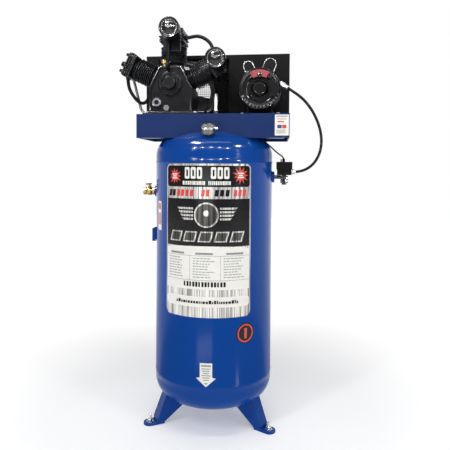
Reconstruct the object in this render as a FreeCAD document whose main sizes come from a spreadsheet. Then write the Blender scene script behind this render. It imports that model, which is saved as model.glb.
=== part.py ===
"""Vertical tank air compressor: a two-stage three-cylinder pump and its motor on a tank.

Frame: +Z up, -Y is the front, the origin is on the floor under the tank's axis.
All sizes are in millimetres and live in the spreadsheet "Sizes".
"""
import FreeCAD, Part
import math
import os
import Sketcher
from FreeCAD import Vector

doc = FreeCAD.newDocument("Compressor")
sheet = doc.addObject("Spreadsheet::Sheet", "Sizes")

# Driving dimensions: alias -> millimetres (counts and angles are plain numbers).
DIMENSIONS = {
    # tank
    "tank_radius": 254, "wall": 3.5, "seam_low": 210, "seam_high": 1114,
    "skirt": 28, "crown_radius": 457, "knuckle_radius": 86, "head_depth": 126.27,
    "bung_radius": 24, "bung_bore": 13,
    # legs
    "foot_circle": 291, "leg_width": 54, "leg_sheet": 5, "pad_thickness": 8,
    "anchor_hole": 7, "pad_end": 24,
    # platform
    "platform_left": -308, "platform_right": 323, "platform_front": -163,
    "platform_back": 150, "platform_top": 1311, "platform_low": 1212,
    "platform_sheet": 4.5, "lip_depth": 60, "lip_inset": 20,
    # belt guard
    "guard_left": -346, "guard_right": 329, "guard_front": 150, "guard_back": 236,
    "guard_top": 1617, "guard_low": 1272, "guard_sheet": 1.5,
    "window_left": -285, "window_right": 48, "window_top": 1601, "air_window": 134,
    # pump
    "pump_x": -182, "crank_z": 1448, "case_front": -85, "case_back": 85,
    "case_half": 92.85, "case_top_half": 49, "shoulder_z": 1431, "case_top": 1525,
    "case_wall": 9, "base_half": 119, "base_thick": 12,
    "barrel_base": 77, "barrel_top": 185, "head_base": 189, "head_top": 235, "high_head_top": 223,
    "bank_angle": 65, "bank_offset": 20, "fin_pitch": 17, "fin_thick": 5,
    "low_bore": 34, "high_bore": 25, "low_fin": 58, "high_fin": 52,
    "filter_radius": 43, "filter_front": -155, "filter_depth": 58,
    "crank_throw": 24, "rod_length": 138, "crank_pin": 17,
    "flywheel_radius": 158, "wheel_front": 166, "wheel_back": 210,
    # motor
    "motor_x": 200, "motor_z": 1418, "motor_radius": 82, "bell_radius": 88,
    "motor_front": -112, "motor_back": 128, "motor_pulley_radius": 58,
    # controls
    "inlet_x": 15, "inlet_y": -85,
    "switch_x": 306, "switch_low": 1060, "port_z": 1051, "valve_z": 984, "gauge_reach": 200, "plug_radius": 12.9,
    "gauge_radius": 28, "gauge_depth": 24,
    "conduit_diameter": 13, "hose_diameter": 16, "tube_diameter": 15,
    "unloader_diameter": 6,
}
for row, (alias, value) in enumerate(DIMENSIONS.items(), start=1):
    sheet.set(f"A{row}", alias)
    sheet.set(f"B{row}", str(value))
    sheet.setAlias(f"B{row}", alias)
doc.recompute()


class Size:
    """A spreadsheet value together with the expression that binds a property to it."""

    def __init__(self, value, text):
        self.value = value
        self.text = text

    def __add__(self, other):
        o = as_size(other)
        return Size(self.value + o.value, f"({self.text} + {o.text})")

    def __sub__(self, other):
        o = as_size(other)
        return Size(self.value - o.value, f"({self.text} - {o.text})")

    def __mul__(self, other):
        o = as_size(other)
        return Size(self.value * o.value, f"({self.text} * {o.text})")

    def __truediv__(self, other):
        o = as_size(other)
        return Size(self.value / o.value, f"({self.text} / {o.text})")

    def __neg__(self):
        return Size(-self.value, f"(0 - {self.text})")

    def __radd__(self, other):
        return as_size(other) + self

    def __rsub__(self, other):
        return as_size(other) - self

    def __rmul__(self, other):
        return as_size(other) * self


def as_size(number):
    if isinstance(number, Size):
        return number
    return Size(float(number), f"({float(number):.6f})")


class Sheet:
    """Gives every spreadsheet alias as a Size: d.tank_radius."""

    def __getattr__(self, alias):
        return Size(float(sheet.get(alias)), f"Sizes.{alias}")


d = Sheet()
NODES = []


def value(number):
    return number.value if isinstance(number, Size) else float(number)


def bind(thing, prop, number):
    """Sets a property to a number, and binds it to the sheet if it comes from there."""
    if isinstance(number, Size):
        thing.setExpression(prop, number.text)
    else:
        setattr(thing, prop, number)


def place(thing, origin, direction=(0, 0, 1), spin=0):
    """Puts thing's own Z axis along direction at origin, after a spin about that axis."""
    turn = FreeCAD.Rotation(Vector(0, 0, 1), Vector(*direction))
    turn = turn.multiply(FreeCAD.Rotation(Vector(0, 0, 1), spin))
    thing.Placement = FreeCAD.Placement(Vector(*[value(c) for c in origin]), turn)
    for axis, number in zip("xyz", origin):
        if isinstance(number, Size):
            thing.setExpression(f"Placement.Base.{axis}", number.text)
    return thing


def place_axes(thing, origin, x_axis, y_axis):
    """Puts thing's own X and Y axes along the two given directions at origin."""
    x, y = Vector(*x_axis).normalize(), Vector(*y_axis).normalize()
    z = x.cross(y)
    turn = FreeCAD.Rotation(x, y, z, "XYZ")
    thing.Placement = FreeCAD.Placement(Vector(*[value(c) for c in origin]), turn)
    for axis, number in zip("xyz", origin):
        if isinstance(number, Size):
            thing.setExpression(f"Placement.Base.{axis}", number.text)
    return thing


def node(label, thing):
    """Makes thing a sub-part of the compressor, with this label."""
    thing.Label = label
    NODES.append((label, thing))
    return thing


# ---- sketches -------------------------------------------------------------------------


def arc_between(start, end, radius, side):
    """An arc from start to end; side +1 bulges to the left of the way from start to end."""
    a, b = Vector(*start), Vector(*end)
    chord = b - a
    left = Vector(-chord.y, chord.x, 0).normalize()
    rise = math.sqrt(max(radius ** 2 - (chord.Length / 2) ** 2, 0))
    centre = (a + b) * 0.5 - left * side * rise
    first, last = (a, b) if side < 0 else (b, a)
    angles = [math.atan2(p.y - centre.y, p.x - centre.x) for p in (first, last)]
    return Part.ArcOfCircle(Part.Circle(centre, Vector(0, 0, 1), radius), *angles)


def pin_down(sketch, geo, pos, x, y):
    """Fixes a point of the sketch at x, y, both bound to the sheet where they come from it."""
    for kind, number, axis in (("DistanceX", x, -2), ("DistanceY", y, -1)):
        if abs(value(number)) < 1e-9:
            sketch.addConstraint(Sketcher.Constraint("PointOnObject", geo, pos, axis))
            continue
        made = Sketcher.Constraint(kind, -1, 1, geo, pos, value(number))
        index = sketch.addConstraint(made)
        if isinstance(number, Size):
            sketch.setExpression(f"Constraints[{index}]", number.text)


def draw_loop(sketch, corners):
    """Draws a closed loop. A corner is (x, y), or (x, y, radius, side) to leave it on an arc."""
    first = sketch.GeometryCount
    count = len(corners)
    for i, corner in enumerate(corners):
        following = corners[(i + 1) % count]
        start = (value(corner[0]), value(corner[1]), 0)
        end = (value(following[0]), value(following[1]), 0)
        if len(corner) == 4:
            curve = arc_between(start, end, value(corner[2]), corner[3])
            sketch.addGeometry(curve, False)
        else:
            sketch.addGeometry(Part.LineSegment(Vector(*start), Vector(*end)), False)
    for i, corner in enumerate(corners):
        here, before = first + i, first + (i - 1) % count
        start_pos = 1
        if len(corner) == 4 and corner[3] > 0:
            start_pos = 2  # a clockwise arc is stored from its other end
        previous = corners[(i - 1) % count]
        end_pos = 2
        if len(previous) == 4 and previous[3] > 0:
            end_pos = 1
        sketch.addConstraint(
            Sketcher.Constraint("Coincident", before, end_pos, here, start_pos)
        )
        pin_down(sketch, here, start_pos, corner[0], corner[1])
        if len(corner) == 4:
            index = sketch.addConstraint(
                Sketcher.Constraint("Radius", here, value(corner[2]))
            )
            if isinstance(corner[2], Size):
                sketch.setExpression(f"Constraints[{index}]", corner[2].text)


def draw_circle(sketch, x, y, radius):
    index = sketch.addGeometry(
        Part.Circle(Vector(value(x), value(y), 0), Vector(0, 0, 1), value(radius)), False
    )
    pin_down(sketch, index, 3, x, y)
    made = sketch.addConstraint(Sketcher.Constraint("Radius", index, value(radius)))
    if isinstance(radius, Size):
        sketch.setExpression(f"Constraints[{made}]", radius.text)


def new_sketch(body, role, name):
    plane = [f for f in body.Origin.OriginFeatures if f.Role == role][0]
    sketch = body.newObject("Sketcher::SketchObject", name)
    sketch.AttachmentSupport = (plane, [""])
    sketch.MapMode = "FlatFace"
    return sketch


def turned(name, corners, origin=(0, 0, 0), direction=(0, 0, 1)):
    """A turned piece: corners are (radius, height) and are revolved about its own Z axis."""
    body = doc.addObject("PartDesign::Body", name)
    sketch = new_sketch(body, "XZ_Plane", name + "_profile")
    draw_loop(sketch, corners)
    turn = body.newObject("PartDesign::Revolution", name + "_turn")
    turn.Profile = sketch
    turn.ReferenceAxis = (sketch, ["V_Axis"])
    turn.Angle = 360
    sketch.Visibility = False
    return place(body, origin, direction)


def plate(name, corners, thickness, origin, x_axis=(1, 0, 0), y_axis=(0, 1, 0), holes=()):
    """A flat piece: corners are in its own X and Y, and it is padded along X cross Y."""
    body = doc.addObject("PartDesign::Body", name)
    sketch = new_sketch(body, "XY_Plane", name + "_outline")
    draw_loop(sketch, corners)
    for hole in holes:
        if len(hole) == 3 and not isinstance(hole[0], tuple):
            draw_circle(sketch, *hole)
        else:
            draw_loop(sketch, hole)
    pad = body.newObject("PartDesign::Pad", name + "_pad")
    pad.Profile = sketch
    bind(pad, "Length", thickness)
    sketch.Visibility = False
    return place_axes(body, origin, x_axis, y_axis)


def oblong(x0, x1, y0, y1):
    return [(x0, y0), (x1, y0), (x1, y1), (x0, y1)]


# ---- primitives and booleans ----------------------------------------------------------


def cylinder(name, radius, height, origin, direction=(0, 0, 1)):
    made = doc.addObject("Part::Cylinder", name)
    bind(made, "Radius", radius)
    bind(made, "Height", height)
    return place(made, origin, direction)


def hexagon(name, across, height, origin, direction=(0, 0, 1), spin=0):
    made = doc.addObject("Part::Prism", name)
    made.Polygon = 6
    bind(made, "Circumradius", across)
    bind(made, "Height", height)
    return place(made, origin, direction, spin)


def block(name, low, high):
    made = doc.addObject("Part::Box", name)
    for prop, a, b in zip(("Length", "Width", "Height"), low, high):
        bind(made, prop, as_size(b) - as_size(a))
    return place(made, low)


def fuse(name, *things):
    made = doc.addObject("Part::MultiFuse", name)
    made.Shapes = list(things)
    return made


def cut(name, base, *tools):
    made = doc.addObject("Part::Cut", name)
    made.Base = base
    made.Tool = tools[0] if len(tools) == 1 else fuse(name + "_tools", *tools)
    return made


def group(name, things):
    """Separate solids that share one node."""
    made = doc.addObject("Part::Compound", name)
    made.Links = list(things)
    return made


def moved(point, direction, distance):
    """The point this far along a direction; the numbers may come from the sheet."""
    return tuple(p + u * distance for p, u in zip(point, direction))


# ---- tank -----------------------------------------------------------------------------


def head_outline(inset):
    """The head's contour from skirt to axis, for the outside (0) or the inside (wall)."""
    radius = d.tank_radius - inset
    knuckle = d.knuckle_radius - inset
    crown = d.crown_radius - inset
    spread = value(d.tank_radius) - value(d.knuckle_radius)
    reach = value(d.crown_radius) - value(d.knuckle_radius)
    lean = math.asin(spread / reach)
    joint_r = value(crown) * math.sin(lean)
    joint_z = value(d.skirt) + value(knuckle) * math.cos(lean)
    return [
        (radius, 0),
        (radius, d.skirt, knuckle, -1),
        (joint_r, joint_z, crown, -1),
        (0, joint_z + value(crown) * (1 - math.cos(lean))),
    ]


def tank_head(name, seam, direction, bores):
    """A dished head with its skirt at the seam, hollow, and bored for its fittings."""
    outside = turned(name + "_outside", head_outline(0) + [(0, 0)], (0, 0, seam), direction)
    hollow = head_outline(d.wall)
    inside = turned(name + "_inside", hollow + [(0, 0)], (0, 0, seam), direction)
    return node(name, cut(name, outside, inside, *bores))


def bung(name, origin, direction, length=30):
    """A welded pipe coupling, and the cylinder that clears the tank's wall for it."""
    lip = d.bung_radius - 3
    ring = [
        (d.bung_bore, 0), (lip, 0), (d.bung_radius, 3),
        (d.bung_radius, length), (d.bung_bore, length),
    ]
    piece = turned(name, ring, origin, direction)
    start = moved(origin, direction, -10)
    bore = cylinder(name + "_bore", d.bung_radius, length + 20, start, direction)
    return piece, bore


gauge_lean = math.radians(57.4)
gauge_normal = (0.0, -math.cos(gauge_lean), math.sin(gauge_lean))
gauge_seat = (0.0, -value(d.gauge_reach), 1221.0)
gauge_bung, gauge_bore = bung(
    "gauge_bung", moved(gauge_seat, gauge_normal, -22), gauge_normal, 26
)
inlet_bung, inlet_bore = bung(
    "inlet_bung", (d.inlet_x, d.inlet_y, 1247), (0, 0, 1), 26
)
drain_bung, drain_bore = bung("drain_bung", (0, 0, 66), (0, 0, -1), 26)
switch_bung, switch_bore = bung("switch_bung", (238, 0, d.port_z), (1, 0, 0), 26)
outlet_bung, outlet_bore = bung("outlet_bung", (-238, 0, d.valve_z), (-1, 0, 0), 26)

shell = turned(
    "shell_tube",
    oblong(d.tank_radius - d.wall, d.tank_radius, 0, d.seam_high - d.seam_low),
    (0, 0, d.seam_low),
)
node("tank_shell", cut("tank_shell", shell, switch_bore, outlet_bore))
tank_head("tank_top_head", d.seam_high, (0, 0, 1), [gauge_bore, inlet_bore])
tank_head("tank_bottom_head", d.seam_low, (0, 0, -1), [drain_bore])

# A folded bracket on the tank's left side carries the blank data plate.
bracket = fuse(
    "plate_bracket_shape",
    block("bracket_web", (-266, -45, 765), (-253, -42, 822)),
    block("bracket_web_rear", (-266, 2, 765), (-250, 5, 822)),
    block("bracket_face", (-269, -45, 765), (-266, 5, 822)),
)
shell_core = cylinder("bracket_trim", d.tank_radius + 0.2, 80, (0, 0, 760))
data_bracket = cut("data_plate_bracket", bracket, shell_core)
node("tank_fittings", group("tank_fittings", [
    gauge_bung, inlet_bung, drain_bung, switch_bung, outlet_bung, data_bracket,
]))


# ---- legs -----------------------------------------------------------------------------


def leg(name, azimuth):
    """A folded channel leg, open towards the tank's axis, on a rounded anchor pad."""
    a = math.radians(azimuth)
    out = (math.sin(a), -math.cos(a), 0)
    side = (math.cos(a), math.sin(a), 0)
    half = d.leg_width / 2

    def across(name, outline, width):
        start = tuple(u * value(width) / 2 for u in side)
        return plate(name, outline, width, start, out, (0, 0, 1))

    web = [(236, 6), (266, 6), (266, 20), (224, 128), (205, 140), (141, 76)]
    hollow = [(260.6, -10), (260.6, 20), (210.8, 148), (100, 148), (100, -10)]
    inner_width = d.leg_width - d.leg_sheet - d.leg_sheet
    channel = cut(
        name + "_channel", across(name + "_outer", web, d.leg_width),
        across(name + "_hollow", hollow, inner_width),
    )
    pad_outline = [
        (234, -half), (d.foot_circle, -half, half, -1),
        (d.foot_circle + half, 0, half, -1), (d.foot_circle, half), (234, half),
    ]
    pad = plate(
        f"{name}_pad", pad_outline, d.pad_thickness, (0, 0, 0), out, side,
        holes=[(d.foot_circle, 0, d.anchor_hole)],
    )
    tank_cap = turned(
        name + "_tank", head_outline(0) + [(0, 0)], (0, 0, d.seam_low), (0, 0, -1)
    )
    return node(name, cut(name, fuse(name + "_folded", channel, pad), tank_cap))


leg("foot_front_left", -60)
leg("foot_front_right", 60)
leg("foot_rear", 180)

# ---- platform -------------------------------------------------------------------------


def platform():
    """An inverted tray of folded sheet, notched at front and back to sit on the tank head."""
    low = (d.platform_left, d.platform_front, d.platform_low)
    high = (d.platform_right, d.platform_back, d.platform_top)
    t = d.platform_sheet
    outer = block("tray_outer", low, high)
    inner = block(
        "tray_inner",
        (low[0] + t, low[1] + t, low[2] - 1),
        (high[0] - t, high[1] - t, high[2] - t),
    )
    lip = block(
        "tray_lip",
        (low[0] + d.lip_inset, low[1] + t, low[2]),
        (high[0] - d.lip_inset, low[1] + d.lip_depth, low[2] + t),
    )
    tray = fuse("tray", cut("tray_bent", outer, inner), lip)
    dome = turned(
        "tray_saddle", head_outline(0) + [(0, 0)], (0, 0, d.seam_high), (0, 0, 1)
    )
    inlet_hole = cylinder("inlet_hole", 22, 40, (d.inlet_x, d.inlet_y, d.platform_top - 30))
    return node("platform", cut("platform", tray, dome, inlet_hole))


platform()

# ---- belt guard -----------------------------------------------------------------------

ACROSS, UPWARD = (1, 0, 0), (0, 0, 1)
FORWARD, REARWARD = (0, -1, 0), (0, 1, 0)


def guard_front():
    """The guard's front sheet, open in a window behind the pump, holed for the motor shaft."""
    outline = oblong(d.guard_left, d.guard_right, d.guard_low, d.guard_top)
    window = oblong(d.window_left, d.window_right, d.platform_top + 1, d.window_top)
    return plate(
        "guard_front", outline, d.guard_sheet, (0, d.guard_front + d.guard_sheet, 0),
        ACROSS, UPWARD, holes=[window, (d.motor_x, d.motor_z, 30)],
    )


def guard_back():
    """The guard's rear tray, with a round air window behind the flywheel."""
    t = d.guard_sheet
    front = d.guard_front + t
    outer = block(
        "guard_shell", (d.guard_left, front, d.guard_low),
        (d.guard_right, d.guard_back, d.guard_top),
    )
    inner = block(
        "guard_space", (d.guard_left + t, front - 1, d.guard_low + t),
        (d.guard_right - t, d.guard_back - t, d.guard_top - t),
    )
    window = cylinder(
        "guard_air_window", d.air_window, 10, (d.pump_x, d.guard_back - 5, d.crank_z), REARWARD
    )
    return cut("guard_back", outer, inner, window)


def bar_mesh(name, left, right, low, high, y):
    """Crossed square bars that close a window."""
    bar = 2
    bars = []
    columns, rows = 10, 9
    for i in range(columns + 1):
        x = left + (right - left - bar) * (i / columns)
        bars.append(block(f"{name}_upright{i}", (x, y, low), (x + bar, y + bar, high)))
    for i in range(rows + 1):
        z = low + (high - low - bar) * (i / rows)
        bars.append(block(f"{name}_cross{i}", (left, y, z), (right, y + bar, z + bar)))
    shaft_gap = cylinder(
        name + "_gap", 34, 20, (d.pump_x, y - 5, d.crank_z), (0, 1, 0)
    )
    return cut(name, fuse(name + "_bars", *bars), shaft_gap)


node("guard_front", guard_front())
node("guard_back", guard_back())
node("guard_mesh", group("guard_mesh", [
    bar_mesh(
        "front_mesh", d.window_left - 6, d.window_right + 6, d.platform_top + 1,
        d.window_top + 6, d.guard_front + d.guard_sheet,
    ),
    bar_mesh(
        "back_mesh", d.pump_x - d.air_window - 2, d.pump_x + d.air_window + 2,
        d.crank_z - d.air_window - 2, d.crank_z + d.air_window + 2,
        d.guard_back - d.guard_sheet - 2,
    ),
]))

# ---- pump -----------------------------------------------------------------------------

def bank_axis(sign):
    """The direction of a cylinder bank: sign -1 leans left, 0 stands up, +1 leans right."""
    lean = math.radians(sign * value(d.bank_angle))
    return (math.sin(lean), 0.0, math.cos(lean))


def bank_origin(sign):
    return (d.pump_x, d.bank_offset * sign, d.crank_z)


BANKS = (
    ("centre", 0, d.low_bore, d.low_fin),
    ("left", -1, d.high_bore, d.high_fin),
    ("right", 1, d.low_bore, d.low_fin),
)


def case_outline(inset, floor):
    """The house-shaped outline of the crankcase, set in by a wall."""
    side = d.case_half - inset
    slope_drop = inset * 0.55
    return [
        (-side, floor), (side, floor), (side, d.shoulder_z - slope_drop),
        (d.case_top_half - inset * 0.55, d.case_top - inset),
        (-d.case_top_half + inset * 0.55, d.case_top - inset),
        (-side, d.shoulder_z - slope_drop),
    ]


def crankcase():
    """A hollow house-shaped casting on a flanged base, bored for crank and cylinders."""
    base_top = d.platform_top + d.base_thick
    length = d.case_back - d.case_front
    outer = plate(
        "case_outer", case_outline(0, base_top - 1), length,
        (d.pump_x, d.case_back, 0), ACROSS, UPWARD,
    )
    w = d.case_wall
    inner = plate(
        "case_inner", case_outline(w, base_top), length - w - w,
        (d.pump_x, d.case_back - w, 0), ACROSS, UPWARD,
    )
    foot = block(
        "case_foot", (d.pump_x - d.base_half, d.case_front - 8, d.platform_top),
        (d.pump_x + d.base_half, d.case_back + 8, base_top),
    )
    tools = [inner]
    tools.append(cylinder(
        "case_crank_bore", 30, length + 40, (d.pump_x, d.case_front - 20, d.crank_z), REARWARD
    ))
    for name, sign, bore, _ in BANKS:
        tools.append(cylinder(
            f"case_bore_{name}", bore + 3.7, 60,
            moved(bank_origin(sign), bank_axis(sign), 40), bank_axis(sign),
        ))
    for i, (x, y) in enumerate(((-107, -70), (107, -70), (-107, 70), (107, 70))):
        tools.append(cylinder(
            f"case_bolt_hole{i}", 5.5, 40, (d.pump_x + x, y, d.platform_top - 10)
        ))
    return cut("crankcase", fuse("case_casting", outer, foot), *tools)


node("crankcase", crankcase())
front_cover = turned(
    "front_cover",
    [(0, 24), (18.05, 24), (18.05, -7), (29.5, -7), (29.5, 0), (50, 0), (50, 8), (46, 11),
     (31, 11), (27, 28), (23, 31), (0, 31)],
    (d.pump_x, d.case_front, d.crank_z), FORWARD,
)
rear_housing = turned(
    "rear_housing",
    [(18.05, -7), (29.5, -7), (29.5, 0), (48, 0), (48, 8), (30, 12), (26, 22), (18.05, 22)],
    (d.pump_x, d.case_back, d.crank_z), REARWARD,
)
node("bearing_covers", group("bearing_covers", [front_cover, rear_housing]))


def ring_bolts(name, centre, direction, circle, count, across, height, first=0.0):
    """Hexagon bolt heads on a circle about a direction that lies along Y."""
    made = []
    for i in range(count):
        a = math.radians(first + 360.0 * i / count)
        spot = (
            centre[0] + circle * math.cos(a), centre[1], centre[2] + circle * math.sin(a)
        )
        made.append(hexagon(f"{name}{i}", across, height, spot, direction, 10 * i))
    return made


cover_bolts = ring_bolts(
    "cover_bolt", (d.pump_x, d.case_front - 11, d.crank_z), FORWARD, 40, 6, 6.5, 5, 30
)


def cylinder_outline(bore, fin):
    """A finned barrel from spigot to deck, as radius against distance from the crank."""
    root = bore + 7
    base, top, pitch, thick = d.barrel_base, d.barrel_top, d.fin_pitch, d.fin_thick
    outline = [
        (bore, base - 11), (bore + 3.5, base - 11), (bore + 3.5, base),
        (bore + 9.5, base), (bore + 9.5, base + 9), (root, base + 12),
    ]
    for i in range(5):
        low = base + 27 + pitch * i
        outline += [(root, low), (fin, low + 1), (fin, low + thick - 1), (root, low + thick)]
    outline += [(root, top - 2), (bore + 12, top - 2), (bore + 12, top), (bore, top)]
    return outline


def head_outline_finned(half, base, top):
    """The head's outline across the bank: deck, one cooling fin and a thick top."""
    return [
        (-half, base), (half, base), (half, base + 8), (half - 9, base + 9),
        (half - 9, base + 16), (half + 3, base + 17), (half + 3, base + 21),
        (half - 9, base + 22), (half - 9, base + 30), (half - 3, base + 31),
        (half - 3, top), (3 - half, top), (3 - half, base + 31), (9 - half, base + 30),
        (9 - half, base + 22), (-half - 3, base + 21), (-half - 3, base + 17),
        (9 - half, base + 16), (9 - half, base + 9), (-half, base + 8),
    ]


def bank_point(sign, along, across, y):
    """A point of a bank: along its axis, across it in the plane of the banks, and in depth."""
    axis, origin = bank_axis(sign), bank_origin(sign)
    return (
        origin[0] + axis[0] * along + axis[2] * across, origin[1] + y,
        origin[2] + axis[2] * along - axis[0] * across,
    )


HEAD_EXTRAS = {
    "centre": [
        cylinder("port_centre", 16, 16, bank_point(0, 223, 6, -59), FORWARD),
        block("valve_chest", (d.pump_x - 33, -75, d.crank_z + 139), (
            d.pump_x + 42, -60, d.crank_z + 226)),
    ],
    "right": [cylinder("port_right", 16, 16, bank_point(1, 221, -0.7, -59), FORWARD)],
    "left": [
        cylinder("port_left", 11, 38, bank_point(-1, 218, -4, 10), bank_axis(-1)),
    ],
}
gaskets = []
for name, sign, bore, fin in BANKS:
    axis, origin = bank_axis(sign), bank_origin(sign)
    across = (axis[2], 0.0, -axis[0])
    node(f"cylinder_{name}", turned(f"cylinder_{name}", cylinder_outline(bore, fin), origin, axis))
    half = 48 if sign < 0 else 53
    top = d.high_head_top if sign < 0 else d.head_top
    deck_origin = (origin[0], origin[1] + 60, origin[2])
    gaskets.append(plate(
        f"valve_plate_{name}", oblong(-half, half, d.barrel_top, d.head_base), 120,
        deck_origin, across, axis,
    ))
    block_shape = plate(
        f"head_block_{name}", head_outline_finned(half, value(d.head_base), top), 120,
        deck_origin, across, axis,
    )
    node(f"cylinder_head_{name}", fuse(
        f"cylinder_head_{name}", block_shape, *HEAD_EXTRAS[name]))

node("valve_plates", group("valve_plates", gaskets))

head_bolts = []
for name, sign, _, _ in BANKS:
    half = 37 if sign < 0 else 42
    top = d.high_head_top if sign < 0 else d.head_top
    corners = ((-half, -51), (half, -51), (-half, 51), (half, 51))
    head_bolts += [
        hexagon(f"head_bolt_{name}{i}", 7, 8, bank_point(sign, top, n, y), bank_axis(sign))
        for i, (n, y) in enumerate(corners)
    ]


def air_filter(name, sign, along, across):
    """A round intake filter can on a short neck in front of a low-pressure head."""
    r = d.filter_radius
    depth = d.filter_depth
    centre = bank_point(sign, along, across, 0)
    can = turned(
        f"{name}_can",
        [(0, 0), (r - 4, 0), (r - 4, 6), (r, 8), (r, depth - 10), (r - 3, depth - 6),
         (r - 6, depth - 6), (r - 9, depth), (11, depth), (9, depth + 7), (0, depth + 7)],
        (centre[0], d.filter_front + depth, centre[2]), FORWARD,
    )
    neck_start = bank_point(sign, along, across, -75)
    length = neck_start[1] - (d.filter_front + depth)
    neck = cylinder(f"{name}_neck", 13, length + 2, neck_start, FORWARD)
    return node(name, fuse(name, can, neck))


air_filter("air_filter_centre", 0, 223, 6)
air_filter("air_filter_right", 1, 221, -0.7)


def crankshaft():
    """Journals, two webs with counterweights, and one pin that all three rods share."""
    front = cylinder("journal_front", 18, 47, (d.pump_x, -104, d.crank_z), REARWARD)
    rear = cylinder("journal_rear", 18, 153, (d.pump_x, 57, d.crank_z), REARWARD)
    pin = cylinder(
        "crank_pin", d.crank_pin, 100, (d.pump_x, -50, d.crank_z - d.crank_throw), REARWARD
    )
    webs = []
    for i, y in enumerate((-60, 46)):
        weight = cylinder(f"counterweight{i}", 55, 14, (d.pump_x, y, d.crank_z), REARWARD)
        trim = block(
            f"weight_trim{i}", (d.pump_x - 60, y - 1, d.crank_z - 60),
            (d.pump_x + 60, y + 15, d.crank_z),
        )
        arm = block(
            f"web_arm{i}", (d.pump_x - 22, y, d.crank_z - d.crank_throw - 20),
            (d.pump_x + 22, y + 14, d.crank_z + 5),
        )
        webs += [cut(f"weight{i}", weight, trim), arm]
    return fuse("crank_forging", front, rear, pin, *webs)


big_ends = []
for i, y in enumerate((-30, -10, 10)):
    big_ends.append(turned(
        f"big_end{i}", oblong(d.crank_pin, 25, 0, 18),
        (d.pump_x, y, d.crank_z - d.crank_throw), REARWARD,
    ))
node("crankshaft", group("crankshaft", [crankshaft()] + big_ends))


def piston(name, sign, bore):
    """A piston with its wrist pin boss and the rod's shank, at its rest height."""
    axis, origin = bank_axis(sign), bank_origin(sign)
    lean = math.radians(sign * value(d.bank_angle))
    throw, length = value(d.crank_throw), value(d.rod_length)
    along = -throw * math.cos(lean)
    wrist = along + math.sqrt(length ** 2 - (throw * math.sin(lean)) ** 2)
    r = bore - 0.05
    crown = turned(
        f"{name}_crown",
        [(0, wrist + 14), (r - 5, wrist + 14), (r - 5, wrist - 14), (r, wrist - 14),
         (r, wrist + 22), (0, wrist + 22)],
        origin, axis,
    )
    shank = cylinder(f"{name}_shank", 7, wrist + 15 - 62, moved(origin, axis, 62), axis)
    return node(name, fuse(name, crown, shank))


for name, sign, bore, _ in BANKS:
    piston(f"piston_{name}", sign, bore)


def flywheel():
    """A fan flywheel: broad tilted blades carry a rim with two belt grooves."""
    r = d.flywheel_radius
    width = d.wheel_back - d.wheel_front
    rim = turned("wheel_rim", [
        (r - 16, 0), (r, 0), (r, 4), (r - 11, 8), (r - 11, 16), (r, 20), (r, 24),
        (r - 11, 28), (r - 11, 36), (r, 40), (r, width), (r - 16, width),
    ], (d.pump_x, d.wheel_front, d.crank_z), REARWARD)
    hub = turned(
        "wheel_hub", oblong(18, 36, 0, width), (d.pump_x, d.wheel_front, d.crank_z), REARWARD
    )
    parts = [rim, hub]
    middle = (value(d.wheel_front) + value(d.wheel_back)) / 2
    blade = [(32, -12), (80, -34), (134, -52), (143, -20), (143, 20), (134, 52), (80, 34), (32, 12)]
    for i in range(5):
        a = math.radians(39 + 72 * i)
        along = (math.cos(a), 0.0, math.sin(a))
        tilt = (-math.sin(a) * 0.98, 0.2, math.cos(a) * 0.98)
        start = (d.pump_x, middle + 3, d.crank_z)
        parts.append(plate(f"wheel_blade{i}", blade, 6, start, along, tilt))
    return fuse("wheel_casting", *parts)


crank_nut = hexagon("crank_nut", 21, 9, (d.pump_x, d.wheel_back, d.crank_z), REARWARD)
node("flywheel", group("flywheel", [flywheel(), crank_nut]))
node("sight_glass", turned(
    "sight_glass", [(0, 0), (17, 0), (20, 3), (20, 9), (17, 12), (10, 12), (9, 8), (0, 8)],
    (d.pump_x - 57, d.case_front, d.platform_top + 57), FORWARD,
))
drain_plug = fuse(
    "oil_drain_plug",
    cylinder("drain_nipple", 8, 16, (d.pump_x - 10, d.case_front, 1342), FORWARD),
    hexagon("drain_cap", 13, 14, (d.pump_x - 10, d.case_front - 16, 1342), FORWARD),
)
filler = turned(
    "oil_filler",
    [(0, 0), (9, 0), (9, 8), (15, 10), (15, 22), (12, 26), (0, 26)],
    (d.pump_x - 28, -68, d.case_top), UPWARD,
)
node("oil_plugs", group("oil_plugs", [drain_plug, filler]))

# ---- motor ----------------------------------------------------------------------------

motor_length = d.motor_back - d.motor_front
shell_ring = turned(
    "shell_ring", oblong(d.motor_radius - 5, d.motor_radius, 0, motor_length - 62),
    (d.motor_x, d.motor_front + 38, d.motor_z), REARWARD,
)
stator = turned(
    "stator", oblong(52, d.motor_radius - 5, 0, 110),
    (d.motor_x, d.motor_front + 68, d.motor_z), REARWARD,
)
node("motor_shell", group("motor_shell", [shell_ring, stator]))
node("motor_front_bell", turned(
    "motor_front_bell",
    [(13.05, -16), (26, -16), (26, -30), (30, -30), (d.motor_radius - 5.2, -34),
     (d.motor_radius - 5.2, -38), (d.bell_radius, -38), (d.bell_radius, -8),
     (d.bell_radius - 5, -1), (d.bell_radius - 16, 2), (58, 0), (52, -10), (32, -10),
     (27, 3), (0, 3), (0, -4), (13.05, -4)],
    (d.motor_x, d.motor_front, d.motor_z), FORWARD,
))
node("motor_rear_bell", turned(
    "motor_rear_bell",
    [(13.05, 0), (28, 0), (34, -8), (d.bell_radius - 12, -8), (d.bell_radius - 4, -12),
     (d.bell_radius - 4, -24), (d.motor_radius - 5.2, -24), (d.motor_radius - 5.2, -18),
     (34, -18), (28, -16), (13.05, -16)],
    (d.motor_x, d.motor_back, d.motor_z), REARWARD,
))


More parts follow.
